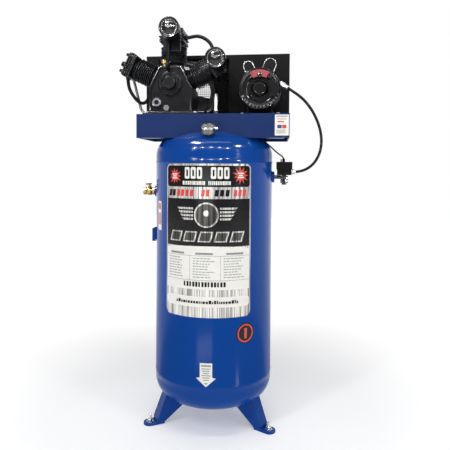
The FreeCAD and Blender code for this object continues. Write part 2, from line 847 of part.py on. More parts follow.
def motor_base():
    """A folded cradle: a plate on the platform and two walls up to the motor shell."""
    low = d.platform_top
    sheet_y = (d.motor_front + 50, d.motor_back - 40)
    base = block(
        "base_plate", (d.motor_x - 92, sheet_y[0], low), (d.motor_x + 92, sheet_y[1], low + 6)
    )
    saddle = block(
        "base_saddle", (d.motor_x - 55, sheet_y[0], low + 5),
        (d.motor_x + 55, sheet_y[1], low + 50),
    )
    hollow = block(
        "base_hollow", (d.motor_x - 48, sheet_y[0] - 1, low + 6),
        (d.motor_x + 48, sheet_y[1] + 1, low + 51),
    )
    shell_space = cylinder(
        "base_shell_space", d.motor_radius, 400, (d.motor_x, -200, d.motor_z), REARWARD
    )
    holes = [
        cylinder(f"base_hole{i}", 5.5, 30, (d.motor_x + x, y, low - 5))
        for i, (x, y) in enumerate(((-76, -45), (76, -45), (-76, 72), (76, 72)))
    ]
    return cut("motor_base", fuse("base_folded", base, saddle), hollow, shell_space, *holes)


node("motor_base", motor_base())


def capacitor_cover(name, lean, reach, half):
    """A domed steel cover on the shell, whose rounded end stands out of the motor."""
    a = math.radians(lean)
    out = (math.sin(a), 0.0, math.cos(a))
    side = (math.cos(a), 0.0, -math.sin(a))
    outline = [
        (-half, 60), (half, 60), (half, reach - half), (half - 6, reach - 9),
        (half - 14, reach), (-half + 14, reach), (-half + 6, reach - 9), (-half, reach - half),
    ]
    hump = plate(name + "_hump", outline, 130, (d.motor_x, 75, d.motor_z), side, out)
    core = cylinder(name + "_core", d.motor_radius, 400, (d.motor_x, -200, d.motor_z), REARWARD)
    return cut(name, hump, core)


terminal_cover = plate(
    "terminal_cover",
    [(0, -34), (22, -34), (36, -22), (38, 0), (32, 22), (18, 36), (4, 36), (0, 26)], 12,
    (d.motor_x + 40, d.motor_front - 2.5, d.motor_z), ACROSS, UPWARD,
)
node("motor_covers", group("motor_covers", [
    capacitor_cover("start_capacitor_cover", -26, 137, 22),
    capacitor_cover("run_capacitor_cover", 21, 144, 27),
    terminal_cover,
]))
node("motor_rotor", fuse(
    "motor_rotor",
    cylinder("motor_shaft", 13, 318, (d.motor_x, d.motor_front + 5, d.motor_z), REARWARD),
    cylinder("rotor_core", 50.5, 110, (d.motor_x, d.motor_front + 68, d.motor_z), REARWARD),
))
pulley_r = d.motor_pulley_radius
node("motor_pulley", turned(
    "motor_pulley",
    [(13, 0), (pulley_r, 0), (pulley_r, 4), (pulley_r - 11, 8), (pulley_r - 11, 16),
     (pulley_r, 20), (pulley_r, 24), (pulley_r - 11, 28), (pulley_r - 11, 36),
     (pulley_r, 40), (pulley_r, 44), (13, 44)],
    (d.motor_x, d.wheel_front, d.motor_z), REARWARD,
))


def belt(name, y):
    """A closed belt round the flywheel and the motor pulley, 8 mm wide and 8 mm thick."""
    wheel = Vector(value(d.pump_x), 0, value(d.crank_z))
    pulley = Vector(value(d.motor_x), 0, value(d.motor_z))
    span = pulley - wheel
    faces = []
    for extra in (-1.5, -9.5):
        big = value(d.flywheel_radius) + extra
        small = value(d.motor_pulley_radius) + extra
        lean = math.acos((big - small) / span.Length)
        heading = math.atan2(span.z, span.x)
        points = []
        for sign in (1, -1):
            a = heading + sign * lean
            u = Vector(math.cos(a), 0, math.sin(a))
            points.append((wheel + u * big, pulley + u * small))
        back = wheel - Vector(math.cos(heading), 0, math.sin(heading)) * big
        tip = pulley + Vector(math.cos(heading), 0, math.sin(heading)) * small
        edges = [
            Part.makeLine(points[0][0], points[0][1]),
            Part.Arc(points[0][1], tip, points[1][1]).toShape(),
            Part.makeLine(points[1][1], points[1][0]),
            Part.Arc(points[1][0], back, points[0][0]).toShape(),
        ]
        faces.append(Part.Face(Part.Wire(edges)))
    solid = [f.extrude(Vector(0, 7.4, 0)) for f in faces]
    made = doc.addObject("Part::Feature", name)
    made.Shape = solid[0].cut(solid[1])
    made.Placement = FreeCAD.Placement(Vector(0, y, 0), FreeCAD.Rotation())
    return made


first_groove = value(d.wheel_front) + 8.3
node("drive_belts", group(
    "drive_belts", [belt("belt_front", first_groove), belt("belt_rear", first_groove + 20)]
))

foot_bolts = [
    hexagon(f"pump_foot_bolt{i}", 9, 8, (d.pump_x + x, y, d.platform_top + d.base_thick))
    for i, (x, y) in enumerate(((-107, -70), (107, -70), (-107, 70), (107, 70)))
] + [
    hexagon(f"motor_foot_bolt{i}", 9, 8, (d.motor_x + x, y, d.platform_top + 6))
    for i, (x, y) in enumerate(((-76, -45), (76, -45), (-76, 72), (76, 72)))
]
node("fasteners", group("fasteners", cover_bolts + head_bolts + foot_bolts))

# ---- pipework -------------------------------------------------------------------------


def spine(points, bend=None):
    """Straight runs joined by tangent arcs, and the smallest radius that was used.

    Without a bend radius each arc takes nearly half of the shorter run beside it.
    """
    corners = [Vector(*p) for p in points]
    edges, radii = [], []
    here = corners[0]
    for before, corner, after in zip(corners, corners[1:], corners[2:]):
        inward = (before - corner)
        outward = (after - corner)
        half_turn = (math.pi - inward.getAngle(outward)) / 2
        shorter = min(inward.Length, outward.Length)
        radius = bend or 0.45 * shorter / math.tan(half_turn)
        reach = radius * math.tan(half_turn)
        inward.normalize()
        outward.normalize()
        start, end = corner + inward * reach, corner + outward * reach
        bisector = (inward + outward).normalize()
        centre = corner + bisector * (radius / math.cos(half_turn))
        edges.append(Part.makeLine(here, start))
        edges.append(Part.Arc(start, centre - bisector * radius, end).toShape())
        radii.append(radius)
        here = end
    edges.append(Part.makeLine(here, corners[-1]))
    return Part.Wire(edges), min(radii)


def tube(name, points, diameter, bend=None):
    """A round tube or hose swept along a route."""
    wire, smallest = spine(points, bend)
    radius = value(diameter) / 2
    start = Vector(*points[0])
    heading = Vector(*points[1]) - start
    rim = Part.Wire(Part.makeCircle(radius, start, heading))
    made = doc.addObject("Part::Feature", name)
    made.Shape = wire.makePipeShell([rim], True, True)
    expected = math.pi * radius ** 2 * wire.Length
    print(
        f"{name}: length {wire.Length:.0f}, smallest radius {smallest:.1f}, "
        f"volume ratio {made.Shape.Volume / expected:.4f}"
    )
    return node(name, made)


def hose_nut(name, start, direction, length=14, radius=8):
    """A hexagon hose nut with a plain collar behind it."""
    collar = cylinder(name + "_collar", radius, length, start, direction)
    nut = hexagon(name + "_nut", radius + 3, length * 0.5, moved(start, direction, 3), direction)
    return fuse(name, collar, nut)


LEFTWARD, DOWNWARD = (-1, 0, 0), (0, 0, -1)
case_elbow = fuse(
    "case_elbow",
    cylinder("elbow_arm", 7.5, 52, (-236, 48, 1498), LEFTWARD),
    cylinder("elbow_drop", 9, 22, (-287, 48, 1506), DOWNWARD),
)
node("hose_fittings", group("hose_fittings", [
    hose_nut("fitting_centre", (-132, -10, 1660), ACROSS, 20),
    hose_nut("fitting_right", (-8, -10, 1577), UPWARD, 24),
    hose_nut("fitting_left", (-393, 5, 1498), DOWNWARD, 23),
    case_elbow,
    hose_nut("delivery_elbow", (-412, -6, 1551), (0, 1, 0), 27, 9),
    hose_nut("union", (-62, 104, 1346), ACROSS, 16),
]))
tube("intercooler_hose", (
    (-112, -10, 1660), (-92, -10, 1665), (-72, -10, 1665), (-53, -10, 1659),
    (-36, -10, 1649), (-21, -10, 1635), (-11, -10, 1618), (-8, -10, 1601),
), d.tube_diameter)
tube("breather_hose", (
    (-393, 5, 1475), (-392, 8, 1455), (-385, 15, 1432), (-372, 25, 1409),
    (-357, 35, 1390), (-340, 42, 1380), (-322, 46, 1386), (-309, 48, 1404),
    (-300, 48, 1430), (-293, 48, 1458), (-287, 48, 1484),
), d.hose_diameter)
tube("discharge_tube", (
    (-412, 21, 1551), (-412, 118, 1551), (-360, 118, 1346), (-150, 118, 1346),
    (-110, 104, 1346), (-62, 104, 1346),
), 12.7, 30)
tube("discharge_hose", (
    (-46, 104, 1346), (-30, 99, 1352), (-18, 88, 1365), (-10, 70, 1381),
    (-4, 48, 1395), (1, 22, 1405), (6, -6, 1408), (10, -33, 1403),
    (13, -57, 1391), (15, -75, 1372), (15, -84, 1350), (15, -85, 1330),
), 16)
tube("breather_tube", (
    (-190, -85, 1510), (-190, -101, 1510), (-190, -105, 1524), (-190, -88, 1546),
    (-190, -88, 1652),
), 13, 7)
valve = d.inlet_x, d.inlet_y
node("check_valve", fuse(
    "check_valve",
    turned(
        "check_valve_body",
        [(0, 0), (d.plug_radius, 0), (d.plug_radius, 17), (17, 17), (17, 26), (15, 28),
         (15, 54), (12, 58), (12, 72), (0, 72)],
        (*valve, 1258), UPWARD,
    ),
    cylinder("check_valve_port", 5, 34, (d.inlet_x, d.inlet_y, 1295), ACROSS),
))
tube("unloader_tube", (
    (49, -85, 1295), (80, -86, 1292), (112, -88, 1280), (142, -91, 1262),
    (170, -94, 1242), (197, -96, 1221), (222, -88, 1200), (245, -72, 1182),
    (266, -50, 1163), (283, -30, 1149), (297, -14, 1142), (303, -10, 1131),
), d.unloader_diameter)

# ---- pressure controls ----------------------------------------------------------------

sx, sz = d.switch_x, d.switch_low
manifold = fuse(
    "manifold",
    turned(
        "manifold_nipple",
        [(0, 0), (d.plug_radius, 0), (d.plug_radius, 12), (8, 14), (8, 42), (0, 42)],
        (252, 0, d.port_z), ACROSS,
    ),
    block("manifold_block", (sx - 16, -16, sz - 34), (sx + 16, 16, sz - 3)),
    cylinder("manifold_stem", 10, 3, (sx, 0, sz - 3)),
    hexagon("manifold_plug", 10, 8, (sx, 0, sz - 42), UPWARD),
)
node("pressure_switch_base", block(
    "pressure_switch_base", (sx - 31, -28, sz), (sx + 31, 28, sz + 24)
))
cover = block("cover_outer", (sx - 34, -32, sz + 24), (sx + 34, 32, sz + 57))
cover_space = block("cover_space", (sx - 32, -30, sz + 23), (sx + 32, 30, sz + 55))
node("pressure_switch_cover", fuse(
    "pressure_switch_cover", cut("cover_box", cover, cover_space),
    cylinder("unloader_fitting", 6, 15, (sx - 3, -10, sz + 56)),
    cylinder("lever_pivot", 3, 6, (sx - 14, -31, sz + 42), FORWARD),
))
node("switch_lever", plate(
    "switch_lever", [(-5, -8), (5, -8), (5, 5), (2.5, 7), (2.5, 26), (-2.5, 26), (-2.5, 7),
                     (-5, 5)],
    3, (sx - 14, -32.5, sz + 42), ACROSS, UPWARD, holes=[(0, 0, 3.05)],
))
safety_valve = turned(
    "safety_valve_body",
    [(0, 0), (8, 0), (8, 6), (11, 7), (11, 15), (8, 17), (8, 36), (6, 38), (6, 40),
     (2.05, 40), (2.05, 20), (0, 20)],
    (sx + 6, -16, sz - 20), FORWARD,
)
node("switch_manifold", group("switch_manifold", [manifold, safety_valve]))
ring = turned(
    "pull_ring", [(8, -1), (10, -1), (10, 1), (8, 1)], (sx + 6, -67, sz - 28), ACROSS
)
node("safety_valve_ring", fuse(
    "safety_valve_ring", ring,
    cylinder("pull_stem", 2, 18, (sx + 6, -44, sz - 20), FORWARD),
    cylinder("pull_head", 4, 3, (sx + 6, -60, sz - 20), FORWARD),
))
motor_exit = (0.866, 0.0, -0.5)
node("conduit_connectors", group("conduit_connectors", [
    hose_nut("motor_connector", (281, -60, 1447), motor_exit, 40, 10),
    hose_nut("switch_connector", (sx + 31, 0, sz + 14), ACROSS, 18, 8.5),
]))
tube("conduit", (
    (315.64, -60, 1427), (340, -58, 1411), (365, -55, 1394), (387, -50, 1375),
    (406, -44, 1353), (423, -38, 1329), (437, -32, 1303), (449, -26, 1275),
    (457, -21, 1247), (462, -16, 1218), (462, -12, 1190), (458, -8, 1163),
    (449, -5, 1138), (436, -3, 1116), (419, -1, 1098), (399, 0, 1085),
    (377, 0, 1077), (355, 0, 1074),
), d.conduit_diameter)

# ---- gauge ----------------------------------------------------------------------------

gr, gd = d.gauge_radius, d.gauge_depth
node("gauge_case", turned(
    "gauge_case",
    [(0, -12), (d.plug_radius, -12), (d.plug_radius, 4.5), (14, 4.5), (14, 11), (7, 11),
     (7, 15), (gr - 2, 15), (gr, 17), (gr, 15 + gd), (gr - 3, 15 + gd), (gr - 3, 18),
     (1.5, 18), (1.5, 33), (0, 33)],
    gauge_seat, gauge_normal,
))
node("gauge_lens", turned(
    "gauge_lens", oblong(0, gr - 3.1, 36, 37.5), gauge_seat, gauge_normal))
dial_up = (0.0, gauge_normal[2], -gauge_normal[1])
node("gauge_needle", plate(
    "gauge_needle", [(-4, -8), (4, -8), (3, 0), (0.5, 20), (-0.5, 20), (-3, 0)], 0.8,
    moved(gauge_seat, gauge_normal, 30), ACROSS, dial_up, holes=[(0, 0, 1.55)],
))

# ---- outlet and drain valves ----------------------------------------------------------

body = turned(
    "outlet_body",
    [(8, 0), (d.plug_radius, 0), (d.plug_radius, 17), (17, 18), (17, 26), (15, 28),
     (19, 34), (19, 48), (15, 54), (17, 56), (17, 68), (9, 68), (9, 54), (12.6, 53),
     (12.6, 29), (8, 28)],
    (-250, 0, d.valve_z), LEFTWARD,
)
neck = cylinder("outlet_neck", 8, 22, (-291, 0, d.valve_z + 1))
cavity = cylinder("outlet_cavity", 12.6, 24, (-279, 0, d.valve_z), LEFTWARD)
stem_bore = cylinder("outlet_stem_bore", 4.05, 40, (-291, 0, d.valve_z))
node("ball_valve_body", cut(
    "ball_valve_body", fuse("outlet_casting", body, neck), cavity, stem_bore))
sphere = doc.addObject("Part::Sphere", "outlet_sphere")
sphere.Radius = 11.9
place(sphere, (-291, 0, d.valve_z))
ball_bore = cylinder("ball_bore", 8, 40, (-291, -20, d.valve_z), REARWARD)
ball = cut("valve_ball", sphere, ball_bore)
handle = fuse(
    "outlet_handle",
    cylinder("handle_stem", 4, 21, (-291, 0, d.valve_z + 10.5)),
    block("handle_lever", (-298, -46, d.valve_z + 29), (-284, 9, d.valve_z + 35)),
)
node("ball_valve_handle", group("ball_valve_handle", [handle, ball]))
node("drain_valve_body", cut(
    "drain_valve_body",
    fuse(
        "drain_casting",
        cylinder("drain_nipple_tank", d.plug_radius, 18, (0, 0, 36)),
        hexagon("drain_body", 15, 18, (0, 0, 18.5)),
        cylinder("drain_boss", 8, 10, (0, -12, 28), FORWARD),
    ),
    cylinder("drain_bore", 4, 60, (0, 0, 10)),
    cylinder("drain_stem_bore", 4.05, 30, (0, 0, 28), FORWARD),
))
node("drain_valve_handle", fuse(
    "drain_valve_handle",
    cylinder("drain_stem", 4, 22, (0, -5, 28), FORWARD),
    block("drain_wing", (-17, -31, 24), (17, -26.5, 32)),
))

# ---- export ---------------------------------------------------------------------------

doc.recompute()
for thing in doc.Objects:
    if any(state in ("Invalid", "Error") for state in thing.State):
        raise SystemExit(f"{thing.Name} did not build: {thing.State}")
os.makedirs("parts", exist_ok=True)
for label, thing in NODES:
    shape = thing.Shape
    if shape.isNull() or not shape.isValid() or not shape.Solids:
        raise SystemExit(f"{label} has no valid shape")
    shape.exportStep(f"parts/{label}.step")
    print(f"{label}: {len(shape.Solids)} solids, {shape.Volume / 1000:.1f} cm3")
print(len(NODES), "nodes")
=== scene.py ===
"""Visual model of the vertical tank air compressor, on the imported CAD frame. Metres."""
import math
import random
import bmesh
import bpy
from mathutils import Matrix, Vector


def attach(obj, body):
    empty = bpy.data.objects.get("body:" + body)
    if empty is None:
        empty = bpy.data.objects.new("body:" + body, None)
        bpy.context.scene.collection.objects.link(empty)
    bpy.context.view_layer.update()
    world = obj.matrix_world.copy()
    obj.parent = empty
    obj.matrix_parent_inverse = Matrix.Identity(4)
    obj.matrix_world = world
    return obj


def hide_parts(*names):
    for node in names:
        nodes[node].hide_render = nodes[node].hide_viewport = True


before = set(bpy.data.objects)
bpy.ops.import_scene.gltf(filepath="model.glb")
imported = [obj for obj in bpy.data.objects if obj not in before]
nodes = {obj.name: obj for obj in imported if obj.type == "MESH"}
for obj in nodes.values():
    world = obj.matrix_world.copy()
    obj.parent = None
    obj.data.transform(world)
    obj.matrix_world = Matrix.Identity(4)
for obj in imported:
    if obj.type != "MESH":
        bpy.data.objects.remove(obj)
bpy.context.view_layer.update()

TAU = 2 * math.pi
X, Y, Z = Vector((1, 0, 0)), Vector((0, 1, 0)), Vector((0, 0, 1))
FRONT = Vector((0, -1, 0))


# ---- camera ---------------------------------------------------------------------------

scene = bpy.context.scene
YAW, PITCH, ROLL = 0.120478, 0.033245, 0.0061253
camera_data = bpy.data.cameras.new("camera")
camera_data.sensor_width = 36
camera_data.lens = 40.145
camera_data.shift_x = 0.0240
camera_data.shift_y = -0.0906
camera_data.clip_start = 0.05
camera = bpy.data.objects.new("camera", camera_data)
scene.collection.objects.link(camera)
forward = Vector((
    -math.sin(YAW) * math.cos(PITCH), math.cos(YAW) * math.cos(PITCH), -math.sin(PITCH),
))
right0 = Vector((math.cos(YAW), math.sin(YAW), 0))
up0 = right0.cross(forward)
right = right0 * math.cos(ROLL) + up0 * math.sin(ROLL)
up = up0 * math.cos(ROLL) - right0 * math.sin(ROLL)
turn = Matrix((right, up, -forward)).transposed().to_4x4()
camera.matrix_world = Matrix.Translation((0.2667, -2.2031, 1.0906)) @ turn
scene.camera = camera
scene.view_settings.view_transform = "Standard"


# ---- materials ------------------------------------------------------------------------


class Shader:
    """A procedural material being built up node by node."""

    def __init__(self, name):
        self.material = bpy.data.materials.new(name)
        self.material.use_nodes = True
        self.tree = self.material.node_tree
        self.bsdf = self.tree.nodes["Principled BSDF"]

    def set(self, **values):
        for key, number in values.items():
            self.bsdf.inputs[key.replace("_", " ")].default_value = number
        return self

    def add(self, kind, **inputs):
        made = self.tree.nodes.new(kind)
        for key, number in inputs.items():
            made.inputs[key].default_value = number
        return made

    def link(self, a, b):
        self.tree.links.new(a, b)

    def noise(self, scale, detail=3.0, stretch=(1, 1, 1)):
        """Noise in object space, stretched along the axes."""
        place = self.add("ShaderNodeTexCoord")
        mapping = self.add("ShaderNodeMapping", Scale=stretch)
        self.link(place.outputs["Object"], mapping.inputs["Vector"])
        made = self.add("ShaderNodeTexNoise", Scale=scale, Detail=detail)
        self.link(mapping.outputs["Vector"], made.inputs["Vector"])
        return made.outputs["Fac"]

    def ramp(self, source, stops):
        """Colours along a value; stops are (position, colour)."""
        made = self.add("ShaderNodeValToRGB")
        elements = made.color_ramp.elements
        while len(elements) < len(stops):
            elements.new(0.5)
        for element, (position, colour) in zip(elements, stops):
            element.position = position
            element.color = (*colour, 1)
        self.link(source, made.inputs["Fac"])
        return made.outputs["Color"]

    def span(self, source, low, high):
        """A value of 0 to 1 mapped onto low to high."""
        made = self.add("ShaderNodeMapRange")
        made.inputs["To Min"].default_value = low
        made.inputs["To Max"].default_value = high
        self.link(source, made.inputs["Value"])
        return made.outputs["Result"]

    def bump(self, source, strength, distance, edge=0.0):
        """Bump from a height, over edges rounded by the given radius."""
        made = self.add("ShaderNodeBump", Strength=strength, Distance=distance)
        self.link(source, made.inputs["Height"])
        if edge:
            rounded = self.add("ShaderNodeBevel", Radius=edge)
            rounded.samples = 4
            self.link(rounded.outputs["Normal"], made.inputs["Normal"])
        self.link(made.outputs["Normal"], self.bsdf.inputs["Normal"])
        return self

    def edge_wear(self, colour_socket, worn, amount, radius=0.001):
        """Mixes a worn colour in where the surface turns sharply."""
        geometry = self.add("ShaderNodeNewGeometry")
        rounded = self.add("ShaderNodeBevel", Radius=radius)
        rounded.samples = 4
        dot = self.add("ShaderNodeVectorMath")
        dot.operation = "DOT_PRODUCT"
        self.link(geometry.outputs["Normal"], dot.inputs[0])
        self.link(rounded.outputs["Normal"], dot.inputs[1])
        sharp = self.add("ShaderNodeMapRange")
        sharp.inputs["From Min"].default_value = 0.995
        sharp.inputs["From Max"].default_value = 0.85
        sharp.inputs["To Min"].default_value = 0.0
        sharp.inputs["To Max"].default_value = amount
        self.link(dot.outputs["Value"], sharp.inputs["Value"])
        mix = self.add("ShaderNodeMix")
        mix.data_type = "RGBA"
        self.link(sharp.outputs["Result"], mix.inputs["Factor"])
        self.link(colour_socket, mix.inputs[6])
        mix.inputs[7].default_value = (*worn, 1)
        return mix.outputs[2]


def paint(name, dark, light, roughness, coat=0.0, peel=0.02, edge=0.0012, worn=None):
    """Painted metal: slight colour drift, orange peel, rounded edges and a clear coat."""
    m = Shader(name)
    drift = m.noise(3.0)
    colour = m.ramp(drift, [(0.3, dark), (0.7, light)])
    if worn:
        colour = m.edge_wear(colour, worn, 0.6)
    m.link(colour, m.bsdf.inputs["Base Color"])
    m.link(m.span(m.noise(18.0), roughness * 0.8, roughness * 1.2), m.bsdf.inputs["Roughness"])
    m.set(Coat_Weight=coat, Coat_Roughness=0.06)
    m.bump(m.noise(420.0, 2.0), peel, 0.001, edge)
    return m.material


def cast(name, dark, light, roughness, worn, grain=260.0, depth=0.25, metallic=0.35):
    """A painted or bare casting with a sandy grain and rubbed edges."""
    m = Shader(name)
    colour = m.ramp(m.noise(40.0, 6.0), [(0.35, dark), (0.65, light)])
    m.link(m.edge_wear(colour, worn, 0.75, 0.0015), m.bsdf.inputs["Base Color"])
    m.link(m.span(m.noise(70.0), roughness * 0.75, roughness * 1.25), m.bsdf.inputs["Roughness"])
    m.set(Metallic=metallic)
    m.bump(m.noise(grain, 4.0), depth, 0.001, 0.0015)
    return m.material


def metal(name, dark, light, roughness, stretch=(1, 1, 1), scale=60.0, edge=0.0008):
    """Bare or plated metal with fine marks."""
    m = Shader(name)
    marks = m.noise(scale, 4.0, stretch)
    m.link(m.ramp(marks, [(0.3, dark), (0.7, light)]), m.bsdf.inputs["Base Color"])
    m.link(m.span(marks, roughness * 0.6, roughness * 1.4), m.bsdf.inputs["Roughness"])
    m.set(Metallic=1.0)
    m.bump(marks, 0.08, 0.0005, edge)
    return m.material


def soft_black(name, dark, light, roughness, scale=200.0, strength=0.15):
    """Rubber or moulded plastic."""
    m = Shader(name)
    grain = m.noise(scale, 3.0)
    m.link(m.ramp(grain, [(0.3, dark), (0.7, light)]), m.bsdf.inputs["Base Color"])
    m.link(m.span(m.noise(30.0), roughness * 0.8, roughness * 1.2), m.bsdf.inputs["Roughness"])
    m.bump(grain, strength, 0.0008, 0.0008)
    return m.material


def printed(name, dark, light, roughness=0.35):
    """Ink or vinyl with a slight mottling."""
    m = Shader(name)
    m.link(m.ramp(m.noise(90.0), [(0.3, dark), (0.7, light)]), m.bsdf.inputs["Base Color"])
    m.set(Roughness=roughness, Coat_Weight=0.3, Coat_Roughness=0.15)
    return m.material


def foil(name, low=0.18, high=0.85):
    """Mirror vinyl whose brightness runs in bands across it."""
    m = Shader(name)
    bands = m.noise(9.0, 2.0, (6, 6, 0.15))
    stops = [(0.30, (low, low, low)), (0.42, (high, high, high)),
             (0.5, (low, low * 0.95, low * 0.9)),
             (0.58, (high, high * 0.97, high * 0.9)), (0.72, (low * 1.6, low * 1.6, low * 1.6))]
    m.link(m.ramp(bands, stops), m.bsdf.inputs["Base Color"])
    m.set(Metallic=0.55, Roughness=0.28)
    return m.material


TANK = paint("tank_blue", (0.003, 0.050, 0.27), (0.004, 0.057, 0.305), 0.14, coat=0.0, peel=0.006)
TRAY = paint("tray_blue", (0.006, 0.024, 0.115), (0.007, 0.028, 0.135), 0.36, coat=0.0, peel=0.02)
UNDER = paint("underside_black", (0.008, 0.008, 0.012), (0.012, 0.012, 0.018), 0.5)
GUARD = paint("guard_black", (0.004, 0.004, 0.005), (0.007, 0.007, 0.009), 0.42, coat=0.1,
              worn=(0.09, 0.095, 0.1))
CASTING = cast("pump_black", (0.004, 0.004, 0.005), (0.009, 0.009, 0.011), 0.42, (0.22, 0.23, 0.25))
FIN = cast("fin_black", (0.003, 0.003, 0.004), (0.008, 0.008, 0.010), 0.36, (0.24, 0.25, 0.27))
COVER = cast("cover_black", (0.003, 0.003, 0.004), (0.007, 0.007, 0.009), 0.36,
             (0.12, 0.125, 0.135),
             400.0, 0.12)
MOTOR = paint("motor_black", (0.003, 0.003, 0.004), (0.007, 0.007, 0.008), 0.33, coat=0.2,
              worn=(0.15, 0.155, 0.165))
STEEL = metal("zinc_steel", (0.42, 0.43, 0.45), (0.66, 0.67, 0.69), 0.34)
CHROME = metal("chrome", (0.62, 0.63, 0.65), (0.86, 0.87, 0.88), 0.12, scale=25.0)
BRIGHT = metal("machined_steel", (0.5, 0.5, 0.52), (0.75, 0.75, 0.77), 0.22, (1, 1, 8), 90.0)
BRASS = metal("brass", (0.36, 0.24, 0.085), (0.55, 0.39, 0.17), 0.3)
GREYMETAL = metal("grey_metal", (0.16, 0.16, 0.15), (0.27, 0.265, 0.25), 0.3)
COPPER = metal("copper_tube", (0.16, 0.15, 0.145), (0.27, 0.25, 0.24), 0.35)
BRAID = metal("braided_steel", (0.26, 0.255, 0.24), (0.55, 0.54, 0.50), 0.42, scale=300.0)
DARKSTEEL = metal("dark_steel", (0.05, 0.05, 0.055), (0.10, 0.10, 0.11), 0.38)
GLOSSBLACK = paint("gloss_black", (0.004, 0.004, 0.005), (0.008, 0.008, 0.010), 0.16)
LOW_GLOSS, SHEET_GLOSS = 0.1, 0.04
ENAMEL_IOR = 1.22
RUBBER = soft_black("rubber", (0.004, 0.004, 0.005), (0.009, 0.009, 0.010), 0.5)
PLASTIC = soft_black("plastic_black", (0.004, 0.004, 0.005), (0.008, 0.008, 0.009), 0.38,
                     500.0, 0.1)
RED = soft_black("red_grip", (0.42, 0.045, 0.02), (0.55, 0.07, 0.035), 0.4)
WHITE = printed("print_white", (0.80, 0.79, 0.74), (0.86, 0.85, 0.80))
BLACK = printed("print_black", (0.004, 0.004, 0.005), (0.009, 0.009, 0.011), 0.25)
REDPRINT = printed("print_red", (0.62, 0.025, 0.02), (0.74, 0.05, 0.035))
GREY = printed("print_grey", (0.20, 0.20, 0.20), (0.30, 0.30, 0.29))
STICKER = printed("sticker_red", (0.34, 0.012, 0.02), (0.40, 0.018, 0.028))
BLUEPRINT = printed("print_blue", (0.02, 0.03, 0.16), (0.03, 0.05, 0.22))
PINK = printed("print_worn_red", (0.45, 0.14, 0.10), (0.60, 0.24, 0.18))
FOIL = foil("foil")
FOILDARK = foil("foil_dark", 0.01, 0.12)
DIAL = printed("dial_white", (0.82, 0.82, 0.82), (0.9, 0.9, 0.9), 0.3)

glass = Shader("glass")
glass.set(Base_Color=(0.96, 0.98, 0.98, 1), Roughness=0.03, Alpha=0.12)
glass.link(glass.span(glass.noise(40.0), 0.01, 0.05), glass.bsdf.inputs["Roughness"])
GLASS = glass.material


# ---- mesh helpers ---------------------------------------------------------------------


def piece(name, mesh, material, body="frame", smooth=40.0):
    """Links a mesh as a piece of the model that rides on a body."""
    obj = bpy.data.objects.new(name, mesh)
    scene.collection.objects.link(obj)
    mesh.materials.append(material)
    if smooth:
        mesh.polygons.foreach_set("use_smooth", [True] * len(mesh.polygons))
        mesh.set_sharp_from_angle(angle=math.radians(smooth))
    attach(obj, body)
    return obj


def finish_mesh(name, bm):
    bmesh.ops.recalc_face_normals(bm, faces=bm.faces)
    mesh = bpy.data.meshes.new(name)
    bm.to_mesh(mesh)
    bm.free()
    return mesh


def basis(axis, hint=None):
    """Two directions square to an axis."""
    axis = Vector(axis).normalized()
    side = Vector(hint) if hint else (X if abs(axis.x) < 0.9 else Y)
    u = (side - axis * side.dot(axis)).normalized()
    return axis, u, axis.cross(u)


def add_lathe(bm, profile, origin, axis, steps=48, closed=False):
    """Revolves (radius, height) points about an axis; a radius of 0 becomes one point."""
    axis, u, v = basis(axis)
    origin = Vector(origin)
    rings = []
    for r, h in profile:
        if r < 1e-6:
            rings.append([bm.verts.new(origin + axis * h)])
            continue
        ring = []
        for i in range(steps):
            a = TAU * i / steps
            ring.append(bm.verts.new(origin + axis * h + (u * math.cos(a) + v * math.sin(a)) * r))
        rings.append(ring)
    pairs = list(zip(rings, rings[1:]))
    if closed:
        pairs.append((rings[-1], rings[0]))
    for a, b in pairs:
        for i in range(steps):
            j = (i + 1) % steps
            if len(a) == 1 and len(b) == 1:
                continue
            if len(a) == 1:
                bm.faces.new((a[0], b[j], b[i]))
            elif len(b) == 1:
                bm.faces.new((a[i], a[j], b[0]))
            else:
                bm.faces.new((a[i], a[j], b[j], b[i]))


def lathe(name, profile, origin, axis, material, body="frame", steps=48, closed=False,
          smooth=40.0):
    bm = bmesh.new()
    add_lathe(bm, profile, origin, axis, steps, closed)
    return piece(name, finish_mesh(name, bm), material, body, smooth)


def add_prism(bm, outline, origin, x_axis, y_axis, depth, bevel=0.0, segments=2):
    """Extrudes a 2-D outline by depth along X cross Y, and rounds all its edges."""
    x_axis, y_axis = Vector(x_axis).normalized(), Vector(y_axis).normalized()
    z_axis = x_axis.cross(y_axis)
    origin = Vector(origin)
    low = [bm.verts.new(origin + x_axis * x + y_axis * y) for x, y in outline]
    high = [bm.verts.new(v.co + z_axis * depth) for v in low]
    count = len(low)
    faces = [bm.faces.new(low[::-1]), bm.faces.new(high)]
    for i in range(count):
        j = (i + 1) % count
        faces.append(bm.faces.new((low[i], low[j], high[j], high[i])))
    if bevel:
        edges = {e for f in faces for e in f.edges}
        bmesh.ops.bevel(
            bm, geom=list(edges), offset=bevel, segments=segments, profile=0.6,
            affect="EDGES", clamp_overlap=True,
        )



def rectangle(x0, x1, y0, y1):
    return [(x0, y0), (x1, y0), (x1, y1), (x0, y1)]



def polygon(sides, radius, turn=0.0):
    return [
        (radius * math.cos(TAU * i / sides + turn), radius * math.sin(TAU * i / sides + turn))
        for i in range(sides)
    ]


